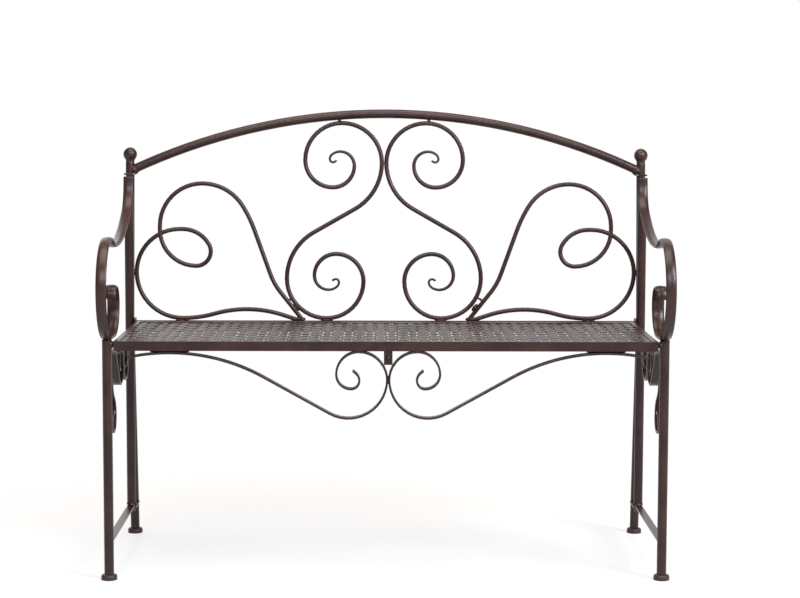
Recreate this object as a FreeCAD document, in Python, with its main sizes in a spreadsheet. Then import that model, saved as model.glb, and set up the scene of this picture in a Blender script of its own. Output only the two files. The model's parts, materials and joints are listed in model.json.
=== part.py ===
"""Iron garden bench with scrolled back, hinged woven seat and pin-hung side frames.

Millimetres and degrees. X runs along the bench, +Y to the back, +Z up, and the floor is Z = 0. Places are
measured back from the axes of the front legs, and the bench is then moved to stand about Y = 0.
"""
import math
import os
import re

import FreeCAD
import Part
import Sketcher

Vector = FreeCAD.Vector

SIZES = {
    # Legs, tubes and feet
    "leg_spread": 518,
    "post_offset": 2,
    "leg_diameter": 18,
    "leg_wall": 2,
    "leg_rise": 2,
    "tube_setback": 350,
    "tube_bottom": 74,
    "tube_margin": 1.7,
    "foot_diameter": 30,
    "foot_height": 10,
    "foot_floor": 4,
    "foot_round": 4,
    "socket_clearance": 0.1,
    # Back frame
    "post_gap": 0.5,
    "back_lean": 5,
    "leg_splay": 7.2,
    "knee_bend": 60,
    "tube_drop": 24.8,
    "finial_diameter": 28,
    "finial_seat": 2,
    "stem_diameter": 17.4,
    "stem_length": 7.5,
    "rail_diameter": 18,
    "rail_wall": 2,
    "post_margin": 14.4,
    "rail_arc": 1210,
    # Round rods of the back
    "rod_diameter": 9,
    "weld_gap": 0.1,
    "scroll_shift": 3.5,
    "scroll_headroom": 19,
    "scroll_run_share": 0.458,
    "scroll_reach": 193,
    "volute_bend_one": 81,
    "volute_bend_two": 75,
    "volute_bend_three": 56,
    "volute_bend_four": 44,
    "volute_bend_five": 29,
    "volute_bend_six": 20.5,
    "volute_bend_tip": 8,
    "spacer_diameter": 7,
    "cope_clearance": 0.5,
    "loop_inset": 63,
    "loop_tail_room": 50.2,
    "loop_crown_bend": 86,
    "loop_shoulder_bend": 88,
    "loop_shoulder_turn": 58,
    "loop_flank_bend": 260,
    "loop_flank_turn": 12,
    "loop_flank_run": 80,
    "loop_tail_bend": 290,
    "loop_side_run": 10,
    "loop_belly_bend": 74,
    "loop_small_bend": 30,
    "loop_return_bend": 44,
    "lower_loop_bend": 87,
    "lower_loop_foot_bend": 94,
    "wave_bend": 239,
    "wave_turn": 15.8,
    # Flat bars of the side frames
    "bar_width": 19,
    "bar_thickness": 5,
    "arm_seat_offset": 10,
    "arm_front_bend": 91,
    "arm_hump_bend": 93,
    "arm_curl_run": 28,
    "arm_curl_bend": 55,
    "arm_tip_bend": 36,
    "arm_dip_bend": 120,
    "arm_dip_turn": 24,
    "arm_sweep_bend": 405,
    "arm_rise_bend": 70,
    "arm_end_run": 4,
    "stretcher_width": 14,
    "stretcher_thickness": 4,
    "side_volute_depth": 22,
    "side_volute_drop": 77,
    "side_volute_bend": 34,
    "side_volute_crown_bend": 32,
    "side_volute_inner_bend": 24,
    "side_volute_eye_bend": 14,
    "side_volute_slope": 48,
    "side_volute_shoulder_bend": 40,
    "curl_depth": 72,
    "curl_neck_bend": 44,
    "curl_neck_turn": 61.6,
    "curl_belly_bend": 26,
    "curl_eye_bend": 18,
    "curl_tip_bend": 10,
    # Hinges of the side frames
    "lug_thickness": 3,
    "lug_gap": 4,
    "lug_lap": 3.5,
    "bearing_gap": 0.3,
    "pin_diameter": 8,
    "pin_reach": 24,
    "bush_length": 15,
    "running_gap": 0.05,
    "bolt_head_diameter": 15,
    "bolt_head_height": 7,
    # Seat
    "seat_top": 450,
    "seat_side_gap": 4,
    "seat_front": 8,
    "seat_rail_width": 10,
    "seat_rail_height": 18,
    "seat_rail_wall": 1.5,
    "back_rail_gap": 9,
    "pivot_reach": 20.5,
    "pivot_diameter": 8,
    "pivot_head_diameter": 13,
    "pivot_head_height": 5,
    "pivot_lug_thickness": 3.1,
    "pivot_lug_rise": 7,
    "pivot_lug_drop": 2,
    "pivot_side_gap": 0.5,
    "peg_diameter": 8,
    "peg_length": 13,
    "peg_drop": 7,
    "peg_clearance": 0.5,
    "strap_width": 13,
    "strap_thickness": 1.2,
    "strap_pitch": 20.6,
    "strap_edge_gap": 2,
    "weave_gap": 0.04,
    "weave_flat": 0.8,
    # Apron under the front seat rail
    "apron_width": 19,
    "apron_setback": 0.5,
    "apron_thickness": 3.5,
    "apron_inset": 34,
    "apron_shift": 3.7,
    "apron_bend_one": 52.5,
    "apron_bend_two": 42,
    "apron_bend_three": 27.5,
    "apron_bend_four": 15.5,
    "apron_tip_bend": 18.4,
    "apron_tip_turn": 50,
    "apron_tip_run": 7.5,
    "apron_foot_bend": 72,
    "apron_slope": 29,
    "apron_shoulder_bend": 360,
    "plate_width": 16,
    "plate_thickness": 3,
    "rivet_diameter": 9,
    "rivet_shank": 5,
}

# Sizes that follow from others, so that the pieces keep together
DERIVED = {
    "loop_steepness": "loop_shoulder_turn + loop_flank_turn",
    "loop_width": "loop_inset + loop_crown_bend + loop_shoulder_bend * sin(loop_shoulder_turn)"
                  " + loop_flank_bend * (sin(loop_steepness) - sin(loop_shoulder_turn))"
                  " + loop_flank_run * cos(loop_steepness) + loop_tail_room",
    "fit": "leg_spread / (scroll_reach + loop_width)",
    "post_spread": "leg_spread + post_offset",
    "seat_half_length": "leg_spread - leg_diameter / 2 - seat_side_gap",
    "apron_reach": "leg_spread - apron_inset",
    "loop_side": "post_spread - loop_inset * fit",
    "leg_top": "seat_top + leg_rise",
    "knee_height": "seat_top",
    "side_volute_top": "seat_top - side_volute_depth",
    "curl_height": "seat_top - curl_depth",
    "knee_setback": "tube_setback + leg_diameter + post_gap",
    "pivot_setback": "knee_setback - pivot_reach",
    "arm_face": "tube_setback - leg_diameter / 2 - bar_thickness / 2 - weld_gap",
    "arm_crest": "arm_seat_offset - arm_front_bend + arm_hump_bend",
    "arm_dip": "arm_crest + (arm_hump_bend + arm_dip_bend) * sin(arm_dip_turn)",
    "arm_sweep_sine": "(arm_face - arm_dip - arm_rise_bend) / (arm_sweep_bend - arm_rise_bend)",
    "arm_dip_fall": "(arm_hump_bend + arm_dip_bend) * (1 - cos(arm_dip_turn))",
    "arm_sweep_rise": "arm_sweep_bend - (arm_sweep_bend - arm_rise_bend) * sqrt(1 - arm_sweep_sine^2)",
    "arm_end": "leg_top + bar_thickness / 2 + arm_front_bend + arm_hump_bend - arm_dip_fall"
               " + arm_sweep_rise + arm_end_run",
    "tube_top": "arm_end + tube_margin",
    "post_reach": "(tube_top + tube_drop - knee_height) / cos(back_lean)",
    "rail_rise": "post_reach - post_margin + rail_arc - sqrt(rail_arc^2 - post_spread^2)",
    "scroll_joint_height": "rail_rise - scroll_headroom - volute_bend_one * fit",
    "scroll_run_bend": "scroll_run_share * (scroll_joint_height - volute_bend_one * fit - rod_diameter / 2)",
}

# The bends of the back's rods are fitted to the bench's length
ROD_BEND = re.compile("(volute|loop|lower_loop|wave)_(.*_)?(bend|run)|scroll_reach")
FITTED = {name for name in SIZES if ROD_BEND.match(name)}

doc = FreeCAD.newDocument("garden_bench")
sheet = doc.addObject("Spreadsheet::Sheet", "Sizes")
cells = {**SIZES, **{alias: f"={formula}" for alias, formula in DERIVED.items()}}
for row, (alias, content) in enumerate(cells.items(), 1):
    sheet.set(f"A{row}", alias)
    sheet.set(f"B{row}", str(content))
    sheet.setAlias(f"B{row}", alias)
doc.recompute()

nodes = {}


def on_sheet(text):
    """Return an expression with every size in it pointed at its cell of the sheet, and bends fitted."""
    def cell(match):
        name = match[0]
        if name in FITTED:
            return f"(Sizes.{name} * Sizes.fit)"
        return f"Sizes.{name}" if name in cells else name

    return re.sub(r"[a-z_]+", cell, str(text))


def value(text):
    """Return the number that an expression of sizes gives now."""
    result = sheet.evalExpression(on_sheet(text))
    return float(getattr(result, "Value", result))


def bind(thing, **expressions):
    """Bind properties of a document object to expressions of sizes; a double underscore stands for a dot."""
    for name, text in expressions.items():
        thing.setExpression(name.replace("__", "."), on_sheet(text))
    return thing


def add(kind, name, **expressions):
    """Add a document object whose properties are bound to expressions of sizes."""
    return bind(doc.addObject(kind, name), **expressions)


def place(thing, x="0", y="0", z="0", turn=None, angle="0"):
    """Place a document object at expressions of sizes, turned about an axis if one is given.

    Its Y is measured from the front legs, and the middle of the bench's depth is taken from it.
    """
    if turn:
        # The axis is kept only by a turn that isn't zero; the sheet then gives the angle
        thing.Placement = FreeCAD.Placement(Vector(), FreeCAD.Rotation(Vector(*turn), 30))
        bind(thing, Placement__Rotation__Angle=angle)
    return bind(thing, Placement__Base__x=x, Placement__Base__y=f"({y}) - {MIDDLE}", Placement__Base__z=z)


def lean(thing, x="0"):
    """Stand an object of the back in its leaning plane, which turns about the knee line."""
    return place(thing, x, "knee_setback", "knee_height", turn=(-1, 0, 0), angle="back_lean")


def keep(thing, label):
    """Give a finished object its label and list it for export."""
    thing.Label = label
    nodes[label] = thing
    return thing


def mirrored(source, normal=(1, 0, 0), **base):
    """Return the mirror image of an object in a plane through a base point bound to the sheet."""
    copy = doc.addObject("Part::Mirroring", "Mirror")
    copy.Source = source
    copy.Normal = normal
    return bind(copy, **base)


def both_sides(source, name, middle="0"):
    """Keep an object as the left piece and its mirror image as the right one."""
    keep(source, f"left_{name}")
    return keep(mirrored(source, Base__x=middle), f"right_{name}")


def group(label, members):
    """Keep several separate solids as one node."""
    compound = doc.addObject("Part::Compound", "Group")
    compound.Links = members
    return keep(compound, label)


def cut(base, *tools):
    """Return one object with others cut out of it."""
    result = base
    for tool in tools:
        step = doc.addObject("Part::Cut", "Cut")
        step.Base = result
        step.Tool = tool
        result = step
    return result


def fuse(*members):
    """Return several objects as one solid."""
    result = doc.addObject("Part::MultiFuse", "Fusion")
    result.Shapes = list(members)
    result.Refine = True
    return result


def box(length, width, height, x, y, z):
    """Return a box by its sizes and its least corner."""
    return place(add("Part::Box", "Block", Length=length, Width=width, Height=height), x, y, z)


def cylinder(diameter, height, x, y, z, turn=None, angle="0"):
    """Return a round bar by its size and the centre of its lower end."""
    bar = add("Part::Cylinder", "Round", Radius=f"({diameter}) / 2", Height=height)
    return place(bar, x, y, z, turn, angle)


def constrain(sketch, text, *definition):
    """Add a dimension to a sketch and bind it to an expression of sizes."""
    number = value(text)
    unit = ""
    if definition[0] == "Angle":
        number = math.radians(number)
        unit = "" if hasattr(sheet.evalExpression(on_sheet(text)), "Value") else " * 1 deg"
    index = sketch.addConstraint(Sketcher.Constraint(*definition, number))
    sketch.setExpression(f"Constraints[{index}]", on_sheet(f"({text}){unit}"))


def new_sketch(body, name, plane, offset="0"):
    """Add a sketch to a body on one of its origin planes, moved along the plane's normal."""
    sketch = body.newObject("Sketcher::SketchObject", name)
    support = next(item for item in body.Origin.OriginFeatures if item.Role == plane)
    sketch.AttachmentSupport = [(support, "")]
    sketch.MapMode = "FlatFace"
    bind(sketch, AttachmentOffset__Base__z=offset)
    return sketch


def pin_point(sketch, geometry, point, across, upward):
    """Fix a point of a sketch at expressions of sizes from the sketch's origin."""
    constrain(sketch, across, "DistanceX", -1, 1, geometry, point)
    constrain(sketch, upward, "DistanceY", -1, 1, geometry, point)


def draw_chain(sketch, start, heading, bends):
    """Draw a chain of tangent lines and arcs, each bound to the sheet.

    A bend is ("run", length) or (turn, radius, sweep), where the turn is "left" or "right".
    """
    at = Vector(value(start[0]), value(start[1]))
    facing = heading
    last = None
    for index, (kind, *measures) in enumerate(bends):
        ahead = Vector(math.cos(facing), math.sin(facing))
        if kind == "run":
            end = at + ahead * value(measures[0])
            sketch.addGeometry(Part.LineSegment(at, end), False)
            first, final = 1, 2
        else:
            radius, sweep = value(measures[0]), math.radians(value(measures[1]))
            side = 1 if kind == "left" else -1
            centre = at + Vector(-ahead.y, ahead.x) * (side * radius)
            begin = facing - side * math.pi / 2
            facing += side * sweep
            spread = (begin, begin + sweep) if side > 0 else (begin - sweep, begin)
            circle = Part.Circle(centre, Vector(0, 0, 1), radius)
            sketch.addGeometry(Part.ArcOfCircle(circle, *spread), False)
            end = centre + Vector(math.cos(begin + side * sweep), math.sin(begin + side * sweep)) * radius
            first, final = (1, 2) if side > 0 else (2, 1)
        if last is None:
            pin_point(sketch, index, first, *start)
            upright = abs(ahead.y) > 0.5
            if kind == "run":
                sketch.addConstraint(Sketcher.Constraint("Vertical" if upright else "Horizontal", index))
            else:
                level = "Horizontal" if upright else "Vertical"
                sketch.addConstraint(Sketcher.Constraint(level, index, first, index, 3))
        else:
            sketch.addConstraint(Sketcher.Constraint("Tangent", *last, index, first))
        if kind == "run":
            constrain(sketch, measures[0], "Distance", index)
        else:
            constrain(sketch, measures[0], "Radius", index)
            constrain(sketch, measures[1], "Angle", index)
        last = (index, final)
        at = end


def draw_circle(sketch, across, upward, diameter):
    """Draw a circle with its centre and size bound to the sheet."""
    centre = Vector(value(across), value(upward))
    index = sketch.addGeometry(Part.Circle(centre, Vector(0, 0, 1), value(diameter) / 2), False)
    pin_point(sketch, index, 3, across, upward)
    constrain(sketch, diameter, "Diameter", index)


def draw_rectangle(sketch, across, upward, width, height):
    """Draw a rectangle about a centre, with its place and size bound to the sheet."""
    x, y, w, h = (value(text) for text in (across, upward, width, height))
    corners = [Vector(x + i * w / 2, y + j * h / 2) for i, j in ((-1, -1), (1, -1), (1, 1), (-1, 1))]
    for index in range(4):
        sketch.addGeometry(Part.LineSegment(corners[index], corners[(index + 1) % 4]), False)
    for index in range(4):
        sketch.addConstraint(Sketcher.Constraint("Coincident", index, 2, (index + 1) % 4, 1))
        level = "Vertical" if index % 2 else "Horizontal"
        sketch.addConstraint(Sketcher.Constraint(level, index))
    pin_point(sketch, 0, 1, f"({across}) - ({width}) / 2", f"({upward}) - ({height}) / 2")
    constrain(sketch, width, "Distance", 0)
    constrain(sketch, height, "Distance", 1)


UP, DOWN, PLUS, MINUS = math.pi / 2, -math.pi / 2, 0.0, math.pi


def swept(name, plane, start, heading, bends, section):
    """Return a body swept along a chain of bends.

    The path lies in the XZ or YZ plane and starts along an axis. The section is ("round", diameter),
    ("tube", diameter, wall) or ("flat", width, thickness) with the width square to the path's plane.
    """
    body = doc.addObject("PartDesign::Body", name)
    path = new_sketch(body, "Path", plane)
    draw_chain(path, start, heading, bends)
    upright = heading in (UP, DOWN)
    if upright:
        profile = new_sketch(body, "Profile", "XY_Plane", start[1])
        centre = (start[0], "0") if plane == "XZ_Plane" else ("0", start[0])
    elif plane == "XZ_Plane":
        profile = new_sketch(body, "Profile", "YZ_Plane", start[0])
        centre = ("0", start[1])
    else:
        profile = new_sketch(body, "Profile", "XZ_Plane", f"-({start[0]})")
        centre = ("0", start[1])
    kind, size, *rest = section
    if kind == "flat":
        wide_first = (plane == "YZ_Plane") or not upright
        draw_rectangle(profile, *centre, *((size, rest[0]) if wide_first else (rest[0], size)))
    else:
        draw_circle(profile, *centre, size)
    if kind == "tube":
        draw_circle(profile, *centre, f"{size} - 2 * {rest[0]}")
    doc.recompute()
    pipe = body.newObject("PartDesign::AdditivePipe", "Sweep")
    pipe.Profile = profile
    pipe.Spine = (path, [f"Edge{index + 1}" for index in range(len(bends))])
    return body


# Places that several pieces share, as expressions of sizes
POST_END = "(foot_floor + leg_diameter / 2 * sin(leg_splay))"
POST_FOOT = f"(knee_setback + (knee_height - {POST_END}) * tan(leg_splay))"
MIDDLE = f"((arm_seat_offset - arm_front_bend - bar_thickness / 2 + {POST_FOOT} + foot_diameter / 2) / 2)"
KNEE_TANGENT = "knee_bend * tan((leg_splay + back_lean) / 2)"
LEG_RADIUS = "leg_diameter / 2"
ROD_SEAT = "(rod_diameter / 2 + weld_gap)"
ROUND_ROD = ("round", "rod_diameter")
FLAT_BAR = ("flat", "bar_width", "bar_thickness")
SEAT_BOTTOM = "(seat_top - seat_rail_height)"
STRETCHER_BOTTOM = "(tube_bottom - weld_gap - stretcher_thickness)"
PIN_HOLE = "(pin_diameter + 2 * running_gap)"
PIVOT_HOLE = "(pivot_diameter + 2 * running_gap)"
PIVOT_HEIGHT = "(seat_top - seat_rail_height / 2)"
SEAT_BACK = "(pivot_setback - back_rail_gap - seat_rail_width)"
ALONG_X = ((0, 1, 0), "90")
ALONG_Y = ((1, 0, 0), "90")
SPLAYED = ((1, 0, 0), "leg_splay")


def on_back(thing, x, height):
    """Stand an object in the leaning plane of the back, at a distance from the knee line."""
    y = f"knee_setback + ({height}) * sin(back_lean)"
    z = f"knee_height + ({height}) * cos(back_lean)"
    return place(thing, x, y, z, turn=(-1, 0, 0), angle="back_lean")


def post_tool(x, gap):
    """Return a round tool along the splayed half of a post, with a gap around the post."""
    return cylinder(f"leg_diameter + 2 * {gap}", "knee_height + rail_diameter", x, POST_FOOT, POST_END,
                    *SPLAYED)


# Back frame
def make_posts():
    """Bent tubes that carry the back and stand on the rear feet."""
    lower = f"(knee_height - {POST_END}) / cos(leg_splay) - {KNEE_TANGENT}"
    bends = [
        ("run", lower),
        ("right", "knee_bend", "leg_splay + back_lean"),
        ("run", f"post_reach - {KNEE_TANGENT}"),
    ]
    post = swept("Post", "YZ_Plane", ("0", "0"), UP, bends, ("tube", "leg_diameter", "leg_wall"))
    place(post, "-post_spread", POST_FOOT, POST_END, *SPLAYED)
    both_sides(post, "back_post")


def make_finials():
    """Ball finials on the tops of the posts."""
    height = "stem_length + finial_diameter / 2"
    stem = add("Part::Cylinder", "Stem", Radius="stem_diameter / 2", Height=height)
    on_back(stem, "-post_spread", "post_reach")
    ball = add("Part::Sphere", "Ball", Radius="finial_diameter / 2")
    on_back(ball, "-post_spread", f"post_reach + {height} - finial_seat")
    both_sides(fuse(stem, ball), "finial")


def make_rails():
    """The arched top rail and the straight lower rail between the posts."""
    arch = doc.addObject("PartDesign::Body", "Arch")
    section = new_sketch(arch, "Section", "YZ_Plane")
    draw_circle(section, "0", "rail_rise", "rail_diameter")
    draw_circle(section, "0", "rail_rise", "rail_diameter - 2 * rail_wall")
    depth = value("rail_rise - rail_arc")
    half = value("rail_diameter")
    axis = section.addGeometry(Part.LineSegment(Vector(-half, depth), Vector(half, depth)), True)
    pin_point(section, axis, 1, "-rail_diameter", "rail_rise - rail_arc")
    pin_point(section, axis, 2, "rail_diameter", "rail_rise - rail_arc")
    doc.recompute()
    turn = arch.newObject("PartDesign::Revolution", "Turn")
    turn.Profile = section
    turn.ReferenceAxis = (section, ["Axis0"])
    turn.Midplane = True
    bind(turn, Angle="2 * asin(post_spread / rail_arc)")
    lean(arch)
    tools = []
    for side in ("-post_spread", "post_spread"):
        tool = add("Part::Cylinder", "Cope", Radius=f"{LEG_RADIUS} + weld_gap", Height="rail_diameter * 4")
        tools.append(on_back(tool, side, "post_reach - rail_diameter * 4"))
    keep(cut(arch, *tools), "top_rail")
    height = "knee_height - rail_diameter / 2"
    bar = cylinder("rail_diameter", "2 * post_spread", "-post_spread", "knee_setback", height, *ALONG_X)
    bore = cylinder("rail_diameter - 2 * rail_wall", "2 * post_spread", "-post_spread", "knee_setback",
                    height, *ALONG_X)
    copes = [post_tool(x, "bearing_gap") for x in ("-post_spread", "post_spread")]
    keep(cut(bar, bore, *copes), "lower_back_rail")


def make_scrolls():
    """The pair of S-scrolls welded back to back, and the spacers that hold them under the top rail."""
    one, two, three, four, five, six, tip = (
        f"volute_bend_{word}" for word in ("one", "two", "three", "four", "five", "six", "tip"))
    joint = "(-(rod_diameter + weld_gap) / 2)"
    start = (
        f"{joint} - {one} - {two} + {three} + {four} - {five} - {six} + {tip}",
        f"scroll_joint_height + {one} - {two} - {three} + {four} + {five} - {six} - {tip}",
    )
    drop = f"(scroll_joint_height - {ROD_SEAT} - {one})"
    shift = "(scroll_reach - 2 * scroll_run_bend)"
    span = f"sqrt({shift}^2 + {drop}^2)"
    turn = f"atan({shift} / {drop}) + asin(2 * scroll_run_bend / {span})"
    bends = [("right", bend, "90") for bend in (tip, six, five, four, three, two, one)]
    bends += [
        ("right", "scroll_run_bend", turn),
        ("run", f"sqrt({span}^2 - 4 * scroll_run_bend^2)"),
        ("left", "scroll_run_bend", turn),
    ]
    bends += [("left", bend, "90") for bend in (one, two, three, four, five, six, tip)]
    left = lean(swept("Scroll", "XZ_Plane", start, MINUS, bends, ROUND_ROD), "-scroll_shift")
    right = both_sides(left, "back_scroll", "-scroll_shift")
    spacers = []
    foot = f"(scroll_joint_height + {one} + rod_diameter / 4)"
    reach = f"({one} - {joint})"
    for scroll, x in ((left, f"(-{reach} - scroll_shift)"), (right, f"({reach} - scroll_shift)")):
        crown = f"(rail_rise - rail_arc + sqrt(rail_arc^2 - {x}^2) - rail_diameter / 2 + rail_wall / 2)"
        stud = add("Part::Cylinder", "Stud", Radius="spacer_diameter / 2", Height=f"{crown} - {foot}")
        spacers.append(cut(on_back(stud, x, foot), scroll, nodes["top_rail"]))
    group("scroll_spacers", spacers)


def make_loops():
    """The upper and lower loops of round rod between the scrolls and the posts."""
    post_side = f"(post_spread - {LEG_RADIUS} - {ROD_SEAT})"
    hub = f"(lower_loop_bend - {post_side})"
    low = f"({ROD_SEAT} + lower_loop_foot_bend)"
    crossing = f"({low} + lower_loop_bend)"
    level = f"({crossing} + loop_side_run + loop_belly_bend - loop_small_bend - loop_return_bend)"
    top = f"({level} + loop_crown_bend)"
    steep = "(loop_steepness)"
    fall = (f"({top} - loop_shoulder_bend * (1 - cos(loop_shoulder_turn))"
            f" - loop_flank_bend * (cos(loop_shoulder_turn) - cos{steep})"
            f" - loop_flank_run * sin{steep} - {ROD_SEAT})")
    crown = [
        ("right", "loop_crown_bend", "90"),
        ("right", "loop_shoulder_bend", "loop_shoulder_turn"),
        ("right", "loop_flank_bend", "loop_flank_turn"),
        ("run", "loop_flank_run"),
        ("left", "loop_tail_bend", f"{steep} * 1 deg - acos(cos{steep} + {fall} / loop_tail_bend)"),
    ]
    belly = [
        ("run", "loop_side_run"),
        ("left", "loop_belly_bend", "90"),
        ("left", "loop_small_bend", "90"),
        ("left", "loop_return_bend", "90"),
    ]
    back = "(loop_belly_bend + loop_small_bend - loop_return_bend - loop_side)"
    meet = f"asin((loop_side + {hub}) / lower_loop_bend)"
    tail = [("run", f"{back} - {hub}"), ("left", "lower_loop_bend", meet)]
    rising = [("right", "lower_loop_bend", f"90 deg - {meet}")]
    wave = [
        ("left", "lower_loop_foot_bend", "90"),
        ("left", "wave_bend", "wave_turn"),
        ("right", "wave_bend", "wave_turn * 1 deg + acos(2 * cos(wave_turn) - 1)"),
    ]
    side = ("-loop_side", level)
    foot = (f"-{post_side}", low)

    def rod(name, start, heading, bends):
        return lean(swept(name, "XZ_Plane", start, heading, bends, ROUND_ROD))

    def cope():
        radius = "rod_diameter / 2 + cope_clearance"
        tool = add("Part::Cylinder", "Cope", Radius=radius, Height="loop_belly_bend / 2")
        return on_back(tool, "-loop_side", f"{crossing} - loop_belly_bend / 3")

    end = cut(rod("Tail", (back, crossing), MINUS, tail), cope())
    upper = fuse(rod("Crown", side, UP, crown), rod("Belly", side, DOWN, belly), end)
    both_sides(upper, "upper_loop")
    lower = fuse(cut(rod("Rise", foot, UP, rising), cope()), rod("Wave", foot, DOWN, wave))
    both_sides(lower, "lower_loop")


# Side frames
def on_side(thing):
    """Stand an object drawn in the YZ plane in the plane of the left side frame."""
    return place(thing, "-leg_spread")


def make_legs():
    """Front legs and the rear tubes that hang on the hinge pins."""
    for name, bottom, top, y in (
        ("front_leg", "foot_floor", "leg_top", "0"),
        ("rear_tube", "tube_bottom", "tube_top", "tube_setback"),
    ):
        run = [("run", f"{top} - {bottom}")]
        tube = swept("Tube", "YZ_Plane", (y, bottom), UP, run, ("tube", "leg_diameter", "leg_wall"))
        both_sides(on_side(tube), name)


def make_arm():
    """The arm strap, from the eye of its volute over the leg to the top of the rear tube."""
    low = "(leg_top + bar_thickness / 2)"
    start = ("arm_seat_offset + arm_curl_run + arm_curl_bend - arm_tip_bend",
             f"{low} + arm_curl_bend + arm_tip_bend")
    sweep = "asin(arm_sweep_sine)"
    bends = [
        ("right", "arm_tip_bend", "90"),
        ("right", "arm_curl_bend", "90"),
        ("run", "arm_curl_run"),
        ("right", "arm_front_bend", "90"),
        ("right", "arm_hump_bend", "90 + arm_dip_turn"),
        ("left", "arm_dip_bend", "arm_dip_turn"),
        ("left", "arm_sweep_bend", sweep),
        ("left", "arm_rise_bend", f"90 deg - {sweep}"),
        ("run", "arm_end_run"),
    ]
    both_sides(on_side(swept("Arm", "YZ_Plane", start, PLUS, bends, FLAT_BAR)), "arm_strap")


def make_side_volutes():
    """Two volutes under the seat's side, welded back to back between the leg and the rear tube."""
    joint = "(tube_setback / 2 - bar_thickness / 2 - weld_gap / 2)"
    low = "(side_volute_top - side_volute_drop)"
    crown, inner, eye = (f"side_volute_{word}_bend" for word in ("crown", "inner", "eye"))
    start = (f"{joint} - {crown} - {inner} + {eye}",
             f"{low} + side_volute_bend + {crown} - {inner} - {eye}")
    bends_sum = "(side_volute_bend + side_volute_shoulder_bend)"
    slope = f"((side_volute_drop - {bends_sum} * (1 - cos(side_volute_slope))) / sin(side_volute_slope))"
    end = (f"{joint} - side_volute_bend - {bends_sum} * sin(side_volute_slope)"
           f" - {slope} * cos(side_volute_slope) - {LEG_RADIUS} - weld_gap")
    bends = [("right", bend, "90") for bend in (eye, inner, crown)]
    bends += [
        ("right", "side_volute_bend", "90 + side_volute_slope"),
        ("run", slope),
        ("left", "side_volute_shoulder_bend", "side_volute_slope"),
        ("run", end),
    ]
    front = on_side(swept("Volute", "YZ_Plane", start, MINUS, bends, FLAT_BAR))
    both_sides(front, "front_volute")
    both_sides(mirrored(front, (0, 1, 0), Base__y=f"tube_setback / 2 - {MIDDLE}"), "rear_volute")


def make_leg_curl():
    """The curl welded behind each front leg."""
    neck = "(2 * curl_neck_bend * (1 - cos(curl_neck_turn)))"
    bends = [
        ("left", "curl_neck_bend", "curl_neck_turn"),
        ("right", "curl_neck_bend", "curl_neck_turn"),
        ("right", "curl_belly_bend", "90"),
        ("right", f"{neck} - curl_belly_bend", "90"),
        ("right", "curl_eye_bend", "90"),
        ("right", "curl_tip_bend", "60"),
    ]
    start = (f"{LEG_RADIUS} + bar_thickness / 2 + weld_gap", "curl_height")
    both_sides(on_side(swept("Curl", "YZ_Plane", start, DOWN, bends, FLAT_BAR)), "leg_curl")


def make_stretcher():
    """The flat bar that the rear tube stands on, welded to the front leg."""
    level = STRETCHER_BOTTOM
    bar = box("stretcher_width", "tube_setback", "stretcher_thickness", "-leg_spread - stretcher_width / 2",
              "0", level)
    nose = cylinder("stretcher_width", "stretcher_thickness", "-leg_spread", "tube_setback", level)
    leg = cylinder("leg_diameter + 2 * weld_gap", "stretcher_thickness", "-leg_spread", "0", level)
    hole = cylinder(PIN_HOLE, "stretcher_thickness", "-leg_spread", "tube_setback", level)
    both_sides(cut(fuse(bar, nose), leg, hole), "side_stretcher")


def make_hinges():
    """Lugs on the back posts, with the pins and bolts that the side frames turn on, and their bushes."""
    above = "(tube_top + lug_gap)"
    below = f"({STRETCHER_BOTTOM} - bearing_gap - lug_thickness)"
    face_above = f"(knee_setback + ({above} - knee_height) * tan(back_lean) - {LEG_RADIUS} / cos(back_lean))"
    face_below = f"(knee_setback + (knee_height - {below}) * tan(leg_splay) - {LEG_RADIUS} / cos(leg_splay))"
    post_above = add("Part::Cylinder", "Cope", Radius=f"{LEG_RADIUS} + weld_gap", Height="post_reach")
    on_back(post_above, "-post_spread", "0")
    hole = cylinder(PIN_HOLE, "lug_thickness", "-leg_spread", "tube_setback", below)
    for name, level, face, tools in (
        ("top_lug", above, face_above, [post_above]),
        ("bottom_lug", below, face_below, [post_tool("-post_spread", "weld_gap"), hole]),
    ):
        arm = box("bar_width", f"{face} + lug_lap - tube_setback", "lug_thickness",
                  "-leg_spread - bar_width / 2", "tube_setback", level)
        nose = cylinder("bar_width", "lug_thickness", "-leg_spread", "tube_setback", level)
        both_sides(cut(fuse(arm, nose), *tools), name)
    pins, bolts, bushes = [], [], []
    for x in ("-leg_spread", "leg_spread"):
        axis = (x, "tube_setback")
        pins.append(cylinder("pin_diameter", "pin_reach + lug_gap", *axis, "tube_top - pin_reach"))
        shank = cylinder("pin_diameter", f"tube_bottom + pin_reach - {below}", *axis, below)
        head = cylinder("bolt_head_diameter", "bolt_head_height", *axis, f"{below} - bolt_head_height")
        bolts.append(fuse(shank, head))
        for level in ("tube_top - bush_length", "tube_bottom"):
            inside = ("bush_length", *axis, level)
            sleeve = cylinder("leg_diameter - 2 * (leg_wall + running_gap)", *inside)
            bushes.append(cut(sleeve, cylinder(PIN_HOLE, *inside)))
    group("hinge_pins", pins)
    group("hinge_bolts", bolts)
    group("hinge_bushes", bushes)


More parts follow.
